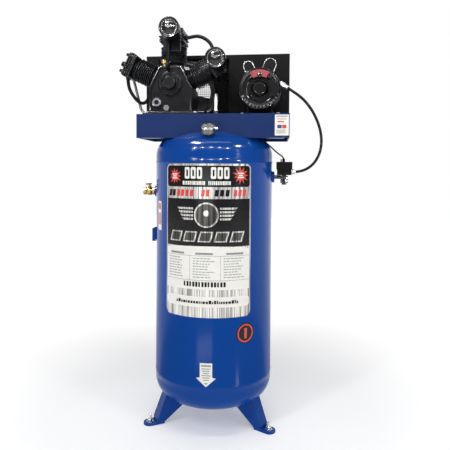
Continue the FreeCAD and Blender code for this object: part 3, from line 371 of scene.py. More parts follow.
def add_bolt(bm, spot, axis, across, height, washer=True, stud=0.0):
    """A hexagon head with chamfered corners, on a washer, with an optional stud end."""
    axis, u, v = basis(axis)
    spot = Vector(spot)
    if washer:
        r, h = across * 0.66, height * 0.2
        add_lathe(bm, [(0, 0), (r, 0), (r, h), (0, h)], spot, axis, 20)
        spot = spot + axis * height * 0.2
    add_prism(bm, polygon(6, across * 0.56), spot, u, v, height * 0.8, height * 0.1, 1)
    if stud:
        r = across * 0.28
        add_lathe(bm, [(0, 0), (r, 0), (r, height * 0.8 + stud - r * 0.4),
                       (r * 0.7, height * 0.8 + stud), (0, height * 0.8 + stud)], spot, axis, 16)


def line_points(points, order=3, steps=10):
    """Points along the NURBS line through control points, read from Blender's own curve."""
    curve = bpy.data.curves.new("route", "CURVE")
    curve.dimensions = "3D"
    curve.resolution_u = steps
    spline = curve.splines.new("NURBS")
    spline.points.add(len(points) - 1)
    for p, co in zip(spline.points, points):
        p.co = (*co, 1)
    spline.order_u = order
    spline.use_endpoint_u = True
    obj = bpy.data.objects.new("route", curve)
    mesh = bpy.data.meshes.new_from_object(obj)
    found = [v.co.copy() for v in mesh.vertices]
    bpy.data.objects.remove(obj)
    bpy.data.curves.remove(curve)
    bpy.data.meshes.remove(mesh)
    return found


def add_tube(bm, path, radius_at, steps=16):
    """Sweeps a circle along a path; radius_at(distance) gives its radius."""
    tangents = []
    for i in range(len(path)):
        a, b = path[max(i - 1, 0)], path[min(i + 1, len(path) - 1)]
        tangents.append((b - a).normalized())
    _, u, _ = basis(tangents[0])
    rings, distance = [], 0.0
    for i, (p, t) in enumerate(zip(path, tangents)):
        if i:
            distance += (p - path[i - 1]).length
        u = (u - t * u.dot(t)).normalized()
        v = t.cross(u)
        r = radius_at(distance)
        rings.append([
            bm.verts.new(p + (u * math.cos(TAU * k / steps) + v * math.sin(TAU * k / steps)) * r)
            for k in range(steps)
        ])
    for a, b in zip(rings, rings[1:]):
        for k in range(steps):
            j = (k + 1) % steps
            bm.faces.new((a[k], a[j], b[j], b[k]))
    bm.faces.new(rings[0][::-1])
    bm.faces.new(rings[-1])


def spaced(path, gap):
    """The path's own points with more between them, so that no two are further than gap."""
    out = [path[0]]
    for a, b in zip(path, path[1:]):
        count = max(1, math.ceil((b - a).length / gap))
        out += [a.lerp(b, k / count) for k in range(1, count + 1)]
    return out


def mm(points):
    return [Vector(p) / 1000 for p in points]


def hose(name, route, diameter, material, ribs=0.0, gap=0.0035,
         replaces=None):
    """A free hose or cable along its route, plain or corrugated, in place of the CAD part it hides.
    """
    path = spaced(line_points(mm(route), steps=14), 0.0007 if ribs else 0.004)
    radius = diameter / 2

    def radius_at(s):
        if not ribs:
            return radius
        return radius - ribs * (0.5 - 0.5 * math.cos(TAU * s / gap))

    bm = bmesh.new()
    add_tube(bm, path, radius_at, 20)
    obj = piece(name, finish_mesh(name, bm), material, "frame", 60.0)
    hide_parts(replaces or name)
    return obj


# ---- cords ----------------------------------------------------------------------------

hose("conduit_cable", (
    (315.64, -60, 1427), (340, -58, 1411), (365, -55, 1394), (387, -50, 1375),
    (406, -44, 1353), (423, -38, 1329), (437, -32, 1303), (449, -26, 1275),
    (457, -21, 1247), (462, -16, 1218), (462, -12, 1190), (458, -8, 1163),
    (449, -5, 1138), (436, -3, 1116), (419, -1, 1098), (399, 0, 1085),
    (377, 0, 1077), (355, 0, 1074),
), 0.013, PLASTIC, 0.0011, 0.0042, "conduit")
hose("intercooler_line", (
    (-112, -10, 1660), (-92, -10, 1665), (-72, -10, 1665), (-53, -10, 1659),
    (-36, -10, 1649), (-21, -10, 1635), (-11, -10, 1618), (-8, -10, 1601),
), 0.016, RUBBER, 0.0008, 0.004, "intercooler_hose")
hose("breather_line", (
    (-393, 5, 1475), (-392, 8, 1455), (-385, 15, 1432), (-372, 25, 1409),
    (-357, 35, 1390), (-340, 42, 1380), (-322, 46, 1386), (-309, 48, 1404),
    (-300, 48, 1430), (-293, 48, 1458), (-287, 48, 1484),
), 0.016, RUBBER, 0.0009, 0.0045, "breather_hose")
hose("discharge_line", (
    (-46, 104, 1346), (-30, 99, 1352), (-18, 88, 1365), (-10, 70, 1381),
    (-4, 48, 1395), (1, 22, 1405), (6, -6, 1408), (10, -33, 1403),
    (13, -57, 1391), (15, -75, 1372), (15, -84, 1350), (15, -85, 1330),
), 0.016, BRAID, 0.0005, 0.0025, "discharge_hose")
hose("unloader_line", (
    (49, -85, 1295), (80, -86, 1292), (112, -88, 1280), (142, -91, 1262),
    (170, -94, 1242), (197, -96, 1221), (222, -88, 1200), (245, -72, 1182),
    (266, -50, 1163), (283, -30, 1149), (297, -14, 1142), (303, -10, 1131),
), 0.006, PLASTIC, replaces="unloader_tube")


# ---- finish for the CAD nodes that stay -------------------------------------------------


def dress(material, *names):
    for name in names:
        mesh = nodes[name].data
        mesh.materials.clear()
        mesh.materials.append(material)


dress(TANK, "foot_front_left", "foot_front_right", "foot_rear", "tank_fittings")
dress(TRAY, "platform")
dress(GUARD, "guard_front", "guard_back")
dress(CASTING, "crankcase", "valve_plates", "bearing_covers")
dress(FIN, "cylinder_centre", "cylinder_left", "cylinder_right", "cylinder_head_centre",
      "cylinder_head_left", "cylinder_head_right")
dress(COVER, "air_filter_centre", "air_filter_right", "breather_tube")
dress(MOTOR, "motor_shell", "motor_front_bell", "motor_rear_bell", "motor_base")
dress(GLOSSBLACK, "motor_covers")
dress(BRASS, "ball_valve_body", "drain_valve_body", "oil_plugs")
dress(DARKSTEEL, "check_valve", "switch_manifold")
dress(STEEL, "fasteners", "hose_fittings", "conduit_connectors", "drain_valve_handle",
      "safety_valve_ring")
dress(DARKSTEEL, "crankshaft", "motor_rotor", "motor_pulley", "flywheel")
dress(COPPER, "discharge_tube")
dress(BRIGHT, "piston_centre", "piston_left", "piston_right")
dress(CHROME, "sight_glass")
dress(GREYMETAL, "gauge_case")
dress(PLASTIC, "pressure_switch_base", "pressure_switch_cover", "switch_lever", "gauge_needle")
dress(RUBBER, "drive_belts")
dress(RED, "ball_valve_handle")
dress(GLASS, "gauge_lens")
dress(GUARD, "guard_mesh")


def dress_part(name, material, chosen):
    """Gives a second material to the faces whose middle passes the test."""
    obj = nodes[name]
    obj.data.materials.append(material)
    index = len(obj.data.materials) - 1
    for face in obj.data.polygons:
        if chosen(obj.matrix_world @ face.center):
            face.material_index = index


dress_part("fasteners", COVER, lambda spot: spot.z > 1.345)
dress_part("oil_plugs", CHROME, lambda spot: spot.z < 1.4)
dress_part("switch_manifold", CHROME, lambda spot: spot.x > 0.315)
dress_part("hose_fittings", COVER, lambda spot: spot.x < 0.05)


def tune(material, socket, number):
    """Sets one plain socket of a finished material."""
    material.node_tree.nodes["Principled BSDF"].inputs[socket].default_value = number


for dim in (CASTING, FIN, COVER, MOTOR, RUBBER, PLASTIC, DARKSTEEL, UNDER, BLACK):
    tune(dim, "Specular IOR Level", LOW_GLOSS)
tune(GUARD, "Specular IOR Level", SHEET_GLOSS)
for enamel in (TANK, TRAY):
    tune(enamel, "IOR", ENAMEL_IOR)


# ---- pump -----------------------------------------------------------------------------

PUMP_X, CRANK_Z, CASE_FRONT = -0.182, 1.448, -0.085
BANK_ANGLE = math.radians(65)
BANKS = (("centre", 0, 0.034, 0.058), ("left", -1, 0.025, 0.052), ("right", 1, 0.034, 0.058))


def middle_of(name):
    """The middle of a CAD node's box."""
    obj = nodes[name]
    return sum((obj.matrix_world @ Vector(c) for c in obj.bound_box), Vector()) / 8


def bank_frame(name, sign):
    """Crank-side origin, direction along and direction across one bank of the pump."""
    origin = Vector((PUMP_X, middle_of("cylinder_" + name).y, CRANK_Z))
    axis = Vector((sign * math.sin(BANK_ANGLE), 0, math.cos(BANK_ANGLE))) if sign else Z.copy()
    return origin, axis, Vector((axis.z, 0, -axis.x))


def barrel_profile(bore, fin, base=0.077, top=0.185, pitch=0.0086, thick=0.0032):
    """A cylinder with thin cooling fins, as radius against distance from the crank."""
    root = bore + 0.009
    outline = [
        (bore, base - 0.011), (bore + 0.0035, base - 0.011), (bore + 0.0035, base),
        (bore + 0.012, base), (bore + 0.012, base + 0.009), (root, base + 0.012),
    ]
    for i in range(9):
        low = base + 0.019 + pitch * i
        reach = fin - (0.0015 if i % 2 else 0)
        outline += [(root, low), (reach - 0.001, low + 0.0004), (reach, low + 0.001),
                    (reach, low + thick - 0.001), (reach - 0.001, low + thick - 0.0004),
                    (root, low + thick)]
    return outline + [(root, top - 0.004), (bore + 0.012, top - 0.004), (bore + 0.012, top),
                      (bore, top)]


def add_comb(bm, bank, half, low, high, depth, pitch, thick, droop=0.0):
    """Cooling fins on a head: thin plates square to the across direction."""
    origin, axis, across = bank
    count = int(2 * half / pitch)
    for i in range(count + 1):
        n = -half + 2 * half * i / count
        tall = high - droop * (n / half) ** 2
        add_prism(bm, rectangle(-depth, depth, low, tall), origin + across * (n - thick / 2),
                  Y, axis, thick, 0.0008, 1)


for name, sign, bore, fin in BANKS:
    bank = bank_frame(name, sign)
    barrel = lathe(f"finned_cylinder_{name}", barrel_profile(bore, fin), bank[0], bank[1], FIN,
                   steps=56, closed=True, smooth=30)
    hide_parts("cylinder_" + name)
    bm = bmesh.new()
    if sign < 0:
        add_comb(bm, bank, 0.052, 0.196, 0.224, 0.056, 0.0088, 0.003, 0.009)
        add_prism(bm, rectangle(-0.058, 0.058, 0.189, 0.200), bank[0] - bank[2] * 0.049,
                  Y, bank[1], 0.098, 0.002)
        for low in (0.206, 0.216):
            add_prism(bm, rectangle(-0.060, 0.060, low, low + 0.003),
                      bank[0] - bank[2] * 0.050, Y, bank[1], 0.100, 0.0008, 1)
        add_lathe(bm, [(0, 0.198), (0.013, 0.198), (0.013, 0.236), (0.011, 0.238), (0.011, 0.256),
                       (0, 0.256)],
                  bank[0] + bank[2] * -0.004 + Y * 0.010, bank[1], 28)
        for n in (-0.037, 0.037):
            for y in (-0.051, 0.051):
                add_lathe(bm, [(0, 0.198), (0.0075, 0.198), (0.0075, 0.223), (0, 0.223)],
                          bank[0] + bank[2] * n + Y * y, bank[1], 20)
        head = piece("finned_head_left", finish_mesh("finned_head_left", bm), FIN, "frame",
                     30)
        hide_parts("cylinder_head_left")
    else:
        add_comb(bm, bank, 0.047, 0.234, 0.245, 0.054, 0.0094, 0.003, 0.003)
        piece(f"head_fins_{name}", finish_mesh(f"head_fins_{name}", bm), FIN, "frame",
              30)


def add_strip(bm, path, width, y_low, y_high, bevel):
    """A raised rib on a front face along (x, z) points."""
    left, right = [], []
    for i, (x, z) in enumerate(path):
        ahead = Vector(path[min(i + 1, len(path) - 1)]) - Vector(path[max(i - 1, 0)])
        side = Vector((-ahead.y, ahead.x)).normalized() * width / 2
        left.append((x + side.x, z + side.y))
        right.append((x - side.x, z - side.y))
    add_prism(bm, left + right[::-1], (0, y_high, 0), X, Z, y_high - y_low, bevel)


bm = bmesh.new()
for side in (-1, 1):
    add_strip(bm, [(PUMP_X + side * x, z) for x, z in
                   ((0.045, 1.520), (0.067, 1.476), (0.0875, 1.432), (0.0885, 1.380),
                    (0.0885, 1.328))],
              0.008, CASE_FRONT - 0.0055, CASE_FRONT + 0.003, 0.002)
add_prism(bm, rectangle(PUMP_X - 0.045, PUMP_X + 0.045, 1.513, 1.521),
          (0, CASE_FRONT + 0.003, 0), X, Z, 0.007, 0.002)
add_prism(bm, rectangle(PUMP_X - 0.104, PUMP_X + 0.104, 1.3235, 1.330),
          (0, CASE_FRONT + 0.003, 0), X, Z, 0.008, 0.002)
piece("crankcase_ribs", finish_mesh("crankcase_ribs", bm), GLOSSBLACK, "frame", 30)

# Thin grey-metal strips along the crests of the sloping ribs: painted highlights where the ribs
# catch the light.
bm = bmesh.new()
for side in (-1, 1):
    add_strip(bm, [(PUMP_X + side * x, z) for x, z in
                   ((0.0462, 1.519), (0.0682, 1.476), (0.0885, 1.433))],
              0.0016, CASE_FRONT - 0.0060, CASE_FRONT - 0.0050, 0.0003)
piece("crankcase_painted_highlights", finish_mesh("crankcase_painted_highlights", bm), GREYMETAL, "frame",
      30)

bm = bmesh.new()
for r in (0.050, 0.0275):
    ring = [(r, 0), (r + 0.0025, 0.001), (r + 0.003, 0.003), (r, 0.0045), (r - 0.003, 0.003),
            (r - 0.0025, 0.001)]
    add_lathe(bm, ring, (PUMP_X, CASE_FRONT - (0.001 if r > 0.04 else 0.010), CRANK_Z), FRONT,
              56, True)
piece("bearing_cover_rims", finish_mesh("bearing_cover_rims", bm), COVER, "frame")


def add_filter(name, sign, along, across):
    """A glossy intake filter can with a rolled rim, a thin chrome ring that is a painted reflection
    on its face, and a wing nut.
    """
    bank = bank_frame(name, sign)
    centre = bank[0] + bank[1] * along + bank[2] * across
    back = Vector((centre.x, -0.097, centre.z))
    can = [(0, 0), (0.039, 0), (0.0425, 0.003), (0.0425, 0.012), (0.0415, 0.014), (0.0415, 0.044),
           (0.043, 0.046), (0.043, 0.050), (0.0405, 0.0525), (0.0375, 0.051), (0.036, 0.047),
           (0.030, 0.0455), (0.024, 0.050), (0.013, 0.053), (0.011, 0.056), (0, 0.056)]
    bm = bmesh.new()
    add_lathe(bm, [(r, h) for r, h in can], back, FRONT, 64)
    add_lathe(bm, [(0, 0), (0.013, 0), (0.013, 0.032), (0, 0.032)],
              Vector((centre.x, bank[0].y - 0.072, centre.z)), FRONT, 28)
    body = piece(f"filter_can_{name}", finish_mesh(f"filter_can_{name}", bm), GLOSSBLACK, "frame",
                 30)
    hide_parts("air_filter_" + name)
    bm = bmesh.new()
    # The thin chrome ring on the can's face is a painted reflection; the hexagon and wings are the
    # wing nut.
    r = 0.0325
    add_lathe(bm, [(r - 0.001, 0.0455), (r + 0.001, 0.0455), (r + 0.001, 0.0475),
                   (r - 0.001, 0.0475)], back, FRONT, 64, True)
    add_prism(bm, polygon(6, 0.006), back + FRONT * 0.056, X, Z, 0.005, 0.0006, 1)
    for lean in (-1, 1):
        wing = [(lean * 0.004, -0.003), (lean * 0.013, 0.002), (lean * 0.014, 0.007),
                (lean * 0.010, 0.008), (lean * 0.003, 0.003)]
        if lean < 0:
            wing = wing[::-1]
        add_prism(bm, wing, back + FRONT * 0.056, X, Z, 0.003, 0.0005, 1)
    piece(f"filter_reflection_ring_and_nut_{name}", finish_mesh(f"filter_reflection_ring_and_nut_{name}", bm), CHROME, "frame",
          30)


add_filter("centre", 0, 0.223, 0.006)
add_filter("right", 1, 0.221, -0.0007)

lathe("oil_sight_face", [(0, 0.0082), (0.0088, 0.0082), (0.0088, 0.0092), (0.003, 0.0092),
                         (0.0025, 0.0098), (0, 0.0098)],
      (PUMP_X - 0.057, CASE_FRONT, 1.368), FRONT, BLACK)


# ---- belt guard mesh --------------------------------------------------------------------


def add_grid(bm, x0, x1, z0, z1, y, pitch, wire, inside=None):
    """Crossing wires; inside(x or z) gives the half length that a wire has on a round window."""
    columns = int((x1 - x0) / pitch)
    rows = int((z1 - z0) / pitch)
    mid_x, mid_z = (x0 + x1) / 2, (z0 + z1) / 2
    for i in range(1, columns):
        x = x0 + pitch * i
        half = inside(x - mid_x) if inside else (z1 - z0) / 2
        add_prism(bm, rectangle(x, x + wire, mid_z - half, mid_z + half), (0, y, 0), X, Z, wire)
    for i in range(1, rows):
        z = z0 + pitch * i
        half = inside(z - mid_z) if inside else (x1 - x0) / 2
        add_prism(bm, rectangle(mid_x - half, mid_x + half, z, z + wire), (0, y, 0), X, Z, wire)


bm = bmesh.new()
add_grid(bm, -0.289, 0.052, 1.313, 1.605, 0.1535, 0.0095, 0.0011)
add_grid(bm, PUMP_X - 0.138, PUMP_X + 0.138, CRANK_Z - 0.138, CRANK_Z + 0.138, 0.2325, 0.0105,
         0.0012, lambda n: math.sqrt(max(0.138 ** 2 - n ** 2, 0.0001)))
mesh_piece = piece("guard_wire", finish_mesh("guard_wire", bm), GUARD, "frame", 0)
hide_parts("guard_mesh")


# ---- motor ------------------------------------------------------------------------------

MOTOR_END = Vector((0.200, -0.112, 1.418))


def add_arc(bm, r0, r1, start, end, low, high, bevel=0.0008, steps=20):
    """A curved bar on the motor's end, from angle to angle in degrees."""
    angles = [math.radians(start + (end - start) * i / steps) for i in range(steps + 1)]
    outline = [(r1 * math.cos(a), r1 * math.sin(a)) for a in angles]
    outline += [(r0 * math.cos(a), r0 * math.sin(a)) for a in reversed(angles)]
    add_prism(bm, outline, MOTOR_END + FRONT * low, X, Z, high - low, bevel)


bm = bmesh.new()
for r, h in ((0.0835, -0.001), (0.060, 0.0), (0.0345, -0.0100), (0.022, 0.003)):
    add_lathe(bm, [(r + 0.002, h - 0.002), (r + 0.002, h + 0.0015), (r, h + 0.003),
                   (r - 0.002, h + 0.0015), (r - 0.002, h - 0.002)], MOTOR_END, FRONT, 72, True)
for start in (150, 215):
    add_arc(bm, 0.040, 0.047, start, start + 50, -0.010, -0.004, 0.001)
for angle in (45, 135, 225, 315):
    a = math.radians(angle)
    add_bolt(bm, MOTOR_END + Vector((0.0665 * math.cos(a), -0.001, 0.0665 * math.sin(a))), FRONT,
             0.0075, 0.005)
piece("motor_end_details", finish_mesh("motor_end_details", bm), GLOSSBLACK, "frame",
      30)
bm = bmesh.new()
for i in range(13):
    middle = 206 + 11.3 * i
    add_arc(bm, 0.0715, 0.0825, middle - 3, middle + 3, 0.0, 0.0055, 0.0008, 3)
piece("motor_vent_bars", finish_mesh("motor_vent_bars", bm), DARKSTEEL, "frame", 30)
# Grey-metal arcs inside the motor's end and beads along the capacitor covers' front edges: painted
# highlights on the black motor.
bm = bmesh.new()
for start, span in ((150, 55), (335, 25)):
    add_arc(bm, 0.0525, 0.0540, start, start + span, 0.0, 0.0014, 0.0004)
for lean, reach, half in ((-26, 0.137, 0.022), (21, 0.144, 0.027)):
    out = Vector((math.sin(math.radians(lean)), 0, math.cos(math.radians(lean))))
    side = Vector((out.z, 0, -out.x))
    turn = reach - half
    edge = [(-half, 0.086), (-half, turn)]
    edge += [(-half * math.cos(a), turn + half * math.sin(a) * 0.93)
             for a in (math.pi * k / 12 for k in range(1, 12))]
    edge += [(half, turn), (half, 0.086)]
    add_tube(bm, spaced([Vector((MOTOR_END.x, -0.0555, MOTOR_END.z)) + side * (x * 0.93) + out * h
                         for x, h in edge], 0.004), lambda distance: 0.0022, 10)
piece("motor_painted_highlights", finish_mesh("motor_painted_highlights", bm), GREYMETAL, "frame",
      40)
bm = bmesh.new()
add_arc(bm, 0.050, 0.0775, 58, 122, 0.0015, 0.0042, 0.0005)
piece("motor_red_sticker", finish_mesh("motor_red_sticker", bm), STICKER, "frame", 30)
lathe("motor_vent_button", [(0, 0.003), (0.010, 0.003), (0.010, 0.006), (0.007, 0.008), (0, 0.008)],
      MOTOR_END + Vector((0.0, 0, 0.056)), FRONT, GLOSSBLACK)


# ---- tank -----------------------------------------------------------------------------

TANK_R = 0.254


def dish(seam, sign, steps=28):
    """The head's contour (radius, z) from its skirt to the axis; sign +1 opens upwards."""
    crown, knuckle, skirt = 0.457, 0.086, 0.028
    lean = math.asin((TANK_R - knuckle) / (crown - knuckle))
    points = []
    for i in range(steps + 1):
        a = (math.pi / 2 - lean) * i / steps
        points.append((TANK_R - knuckle + knuckle * math.cos(a), skirt + knuckle * math.sin(a)))
    centre = skirt + knuckle * math.cos(lean) - crown * math.cos(lean)
    for i in range(1, steps + 1):
        a = lean * (1 - i / steps)
        points.append((crown * math.sin(a), centre + crown * math.cos(a)))
    return [(max(r, 0), seam + sign * h) for r, h in points]


def weld(seam, width=0.0055, rise=0.0011):
    """The proud bead over a seam."""
    points = []
    for i in range(9):
        a = math.pi * i / 8
        points.append((TANK_R + rise * math.sin(a), seam - width * math.cos(a)))
    return points


bottom = dish(0.210, -1)[::-1]
top = dish(1.114, 1)
tank_profile = bottom + weld(0.210) + weld(1.114) + top
tank = lathe("tank_skin", tank_profile, (0, 0, 0), Z, TANK, steps=192,
             smooth=60.0)
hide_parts("tank_shell", "tank_top_head", "tank_bottom_head")


def on_tank(x, z, lift=0.0006):
    """A point on the tank's skin, x metres round from the front towards the right."""
    a = x / TANK_R
    return Vector(((TANK_R + lift) * math.sin(a), -(TANK_R + lift) * math.cos(a), z))



def decal(name, shapes, material, lift, mapping=on_tank, step=0.01, thick=0.0):
    """Flat shapes, each a polygon in (round, z), wrapped onto the skin."""
    bm = bmesh.new()
    for shape in shapes:
        verts = [bm.verts.new((x, 0, z)) for x, z in shape]
        bm.faces.new(verts)
    low = min(v.co.x for v in bm.verts)
    high = max(v.co.x for v in bm.verts)
    for k in range(1, int((high - low) / step) + 1):
        bmesh.ops.bisect_plane(
            bm, geom=bm.verts[:] + bm.edges[:] + bm.faces[:], plane_co=(low + k * step, 0, 0),
            plane_no=(1, 0, 0),
        )
    for v in bm.verts:
        v.co = mapping(v.co.x, v.co.z, lift)
    bmesh.ops.triangulate(bm, faces=bm.faces[:])
    for f in bm.faces:
        f.normal_update()
        if f.normal.dot(Vector((f.calc_center_median().x, f.calc_center_median().y, 0))) < 0:
            f.normal_flip()
    mesh = bpy.data.meshes.new(name)
    bm.to_mesh(mesh)
    bm.free()
    return piece(name, mesh, material, smooth=0)


def rounded(x0, x1, z0, z1, r=0.01, steps=6):
    """A rectangle with rounded corners."""
    out = []
    for cx, cz, first in ((x1 - r, z1 - r, 0), (x0 + r, z1 - r, 1), (x0 + r, z0 + r, 2),
                          (x1 - r, z0 + r, 3)):
        for i in range(steps + 1):
            a = (first + i / steps) * math.pi / 2
            out.append((cx + r * math.cos(a), cz + r * math.sin(a)))
    return out


def star(cx, cz, outer, inner, spikes, seed):
    """A burst with uneven spikes."""
    rng = random.Random(seed)
    out = []
    for i in range(spikes * 2):
        a = math.pi * i / spikes
        r = outer * rng.uniform(0.78, 1.0) if i % 2 == 0 else inner
        out.append((cx + r * math.cos(a), cz + r * math.sin(a)))
    return out


def slanted(x0, x1, z0, z1, lean=0.0):
    return [(x0, z0), (x1, z0), (x1 + lean, z1), (x0 + lean, z1)]


def mirrored(shapes):
    return shapes + [[(-x, z) for x, z in shape[::-1]] for shape in shapes]


HALF = 0.1875
decal("label_border", [rounded(-HALF, HALF, 0.495, 1.106, 0.022)], FOIL, 0.0003)
decal("label_header", [rounded(-HALF + 0.006, HALF - 0.006, 1.014, 1.098, 0.012)], BLACK, 0.0005)
decal("label_bursts", [
    star(-0.139, 1.056, 0.036, 0.018, 11, 3), star(0.139, 1.060, 0.038, 0.018, 11, 5),
], REDPRINT, 0.0008)
decal("label_burst_marks", [
    rectangle(x - w, x + w, z - 0.0025, z + 0.0025)
    for cx, cz in ((-0.139, 1.056), (0.139, 1.060))
    for x, w, z in ((cx, 0.013, cz + 0.008), (cx, 0.009, cz), (cx, 0.013, cz - 0.008))
], WHITE, 0.0011)
blocks = []
for cx in (-0.054, 0.054):
    for k in (-1, 0, 1):
        middle = cx + k * 0.026
        blocks.append(rounded(middle - 0.0105, middle + 0.0105, 1.046, 1.092, 0.005))
decal("label_header_blocks", blocks, WHITE, 0.0008)
decal("label_header_block_cores", [
    rounded(cx + k * 0.026 - 0.0035, cx + k * 0.026 + 0.0035, 1.056, 1.082, 0.0033)
    for cx in (-0.054, 0.054) for k in (-1, 0, 1)
], BLACK, 0.0011)
small = random.Random(7)
marks = []
for cx in (-0.054, 0.054):
    x = cx - 0.046
    while x < cx + 0.044:
        w = small.choice((0.0045, 0.006, 0.0075))
        marks.append(rectangle(x, x + w, 1.022, 1.037))
        x += w + 0.0022
decal("label_header_marks", marks, WHITE, 0.0008)
decal("label_band", [rectangle(-HALF + 0.006, HALF - 0.006, 0.970, 1.013)], FOIL, 0.0005)
decal("label_band_red", [
    slanted(x, x + 0.014, 0.977, 1.003, 0.003)
    for x in (-0.128, -0.109, -0.089, -0.069, -0.022, -0.003, 0.108, 0.127, 0.147)
], REDPRINT, 0.0008)
decal("label_band_black", [
    slanted(x, x + 0.015, 0.977, 1.003, 0.003) for x in (-0.170, -0.152, 0.032, 0.053, 0.075)
], BLACK, 0.0008)
decal("label_field", [rectangle(-HALF + 0.006, HALF - 0.006, 0.778, 0.967)], BLACK, 0.0005)
wings = []
for k, (z, reach) in enumerate(((0.929, 0.128), (0.915, 0.120), (0.901, 0.112), (0.887, 0.104))):
    wings.append([(0.054, z - 0.004), (reach - 0.010, z - 0.004), (reach, z + 0.004),
                  (0.054, z + 0.004)])
decal("label_emblem_bars", mirrored(wings), FOIL, 0.0008)
disc = [(x, z + 0.903) for x, z in polygon(40, 0.050)]
decal("label_emblem_rim", [disc], FOIL, 0.0008)
decal("label_emblem_core", [[(x * 0.88, 0.903 + (z - 0.903) * 0.88) for x, z in disc]],
      FOILDARK, 0.0011)
decal("label_emblem_dot", [[(x, z + 0.910) for x, z in polygon(24, 0.012)]], FOIL, 0.0014)
plates, cores = [], []
for k in range(5):
    x = -0.163 + k * 0.064
    plates.append(slanted(x, x + 0.052, 0.796, 0.838, 0.012))
    cores.append(slanted(x + 0.0065, x + 0.047, 0.801, 0.833, 0.0095))
decal("label_plate_rims", plates, FOIL, 0.0008)
decal("label_plate_cores", cores, FOILDARK, 0.0011)
crown_edge = [(-HALF + 0.006, 0.607), (HALF - 0.006, 0.607)]
for i in range(13):
    x = (HALF - 0.006) * (1 - i / 6)
    rise = math.cos(abs(x) / HALF * math.pi / 2) ** 0.5 * (abs(x) < 0.181)
    crown_edge.append((x, 0.768 + 0.012 * rise))
decal("label_panel", [crown_edge], WHITE, 0.0009)
rules = [rectangle(-HALF + 0.006, HALF - 0.006, z - 0.0007, z + 0.0007) for z in (0.741, 0.644)]
rules += [rectangle(x - 0.0006, x + 0.0006, 0.644, 0.741) for x in (-0.067, 0.057)]
decal("label_rules", rules, GREY, 0.0012)
lines = []
for left, width in ((-0.168, 0.088), (-0.054, 0.094), (0.070, 0.096)):
    lines.append(rectangle(left + 0.010, left + width * 0.86, 0.746, 0.754))
    for k in range(8):
        run = width * small.uniform(0.62, 0.98)
        z = 0.731 - k * 0.0107
        x = left
        while x < left + run:
            w = small.uniform(0.006, 0.016)
            lines.append(rectangle(x, min(x + w, left + run), z - 0.0016, z + 0.0016))
            x += w + 0.003
decal("label_lines", lines, GREY, 0.0012)
marks = []
for k, w in enumerate((7, 9, 7, 9, 9, 7, 9, 9, 7, 9, 9, 7, 9, 9)):
    x = -0.093 + k * 0.0125
    marks.append(rounded(x, x + w / 1000, 0.618, 0.638, 0.0022))
decal("label_number_blocks", marks, BLACK, 0.0012)
decal("label_panel_foot", [rectangle(-HALF + 0.004, HALF - 0.004, 0.580, 0.607)], FOIL, 0.0006)
decal("label_pill", [rounded(-HALF + 0.006, HALF - 0.006, 0.537, 0.579, 0.014)], WHITE, 0.0009)
marks = []
x = -0.128
while x < 0.126:
    w = small.choice((0.005, 0.007, 0.009, 0.011))
    marks.append(rounded(x, x + w, 0.551, 0.551 + small.choice((0.010, 0.010, 0.014)), 0.0015))
    x += w + 0.0025
decal("label_pill_marks", marks, BLACK, 0.0012)

# round badge, low on the right
BADGE_X, BADGE_Z = 0.1665, 0.425
decal("badge_rim", [[(BADGE_X + x, BADGE_Z + z) for x, z in polygon(40, 0.042)]], BLACK, 0.0004)
decal("badge_ring", [[(BADGE_X + x, BADGE_Z + z) for x, z in polygon(40, 0.037)]], REDPRINT, 0.0007)
decal("badge_core", [[(BADGE_X + x, BADGE_Z + z) for x, z in polygon(40, 0.031)]], BLACK, 0.0010)
decal("badge_mark", [
    slanted(BADGE_X - 0.006, BADGE_X + 0.006, BADGE_Z - 0.021, BADGE_Z + 0.021),
], REDPRINT, 0.0013)

# arrow label at the bottom
arrow = [(0.002, 0.218), (0.042, 0.253), (0.027, 0.256), (0.027, 0.314), (-0.023, 0.314),
         (-0.023, 0.256), (-0.038, 0.253)]
decal("arrow_label", [arrow], WHITE, 0.0004)
marks = [rectangle(-0.018, 0.022, 0.300, 0.306)]
for k in range(6):
    w = 0.018 - (k % 3) * 0.003
    marks.append(rectangle(0.002 - w, 0.002 + w, 0.289 - k * 0.009, 0.2925 - k * 0.009))
marks.append([(0.002, 0.226), (0.010, 0.234), (-0.006, 0.234)])
decal("arrow_marks", marks, GREY, 0.0007)

# worn label at the left edge
EDGE_X = -54.0 / 180 * math.pi * TANK_R
decal("side_label", [rounded(EDGE_X - 0.030, EDGE_X + 0.006, 0.828, 0.949, 0.004)], WHITE, 0.0004)
decal("side_label_panels", [
    rectangle(EDGE_X - 0.026, EDGE_X + 0.002, 0.915, 0.940),
    rectangle(EDGE_X - 0.026, EDGE_X + 0.002, 0.850, 0.900),
], PINK, 0.0007)


# ---- gauge, label on the tray, anchors -----------------------------------------------------


def gauge_frame():
    """Seat and direction of the gauge, from the CAD case and lens."""
    case, lens = middle_of("gauge_case"), middle_of("gauge_lens")
    return lens, (lens - case).normalized()


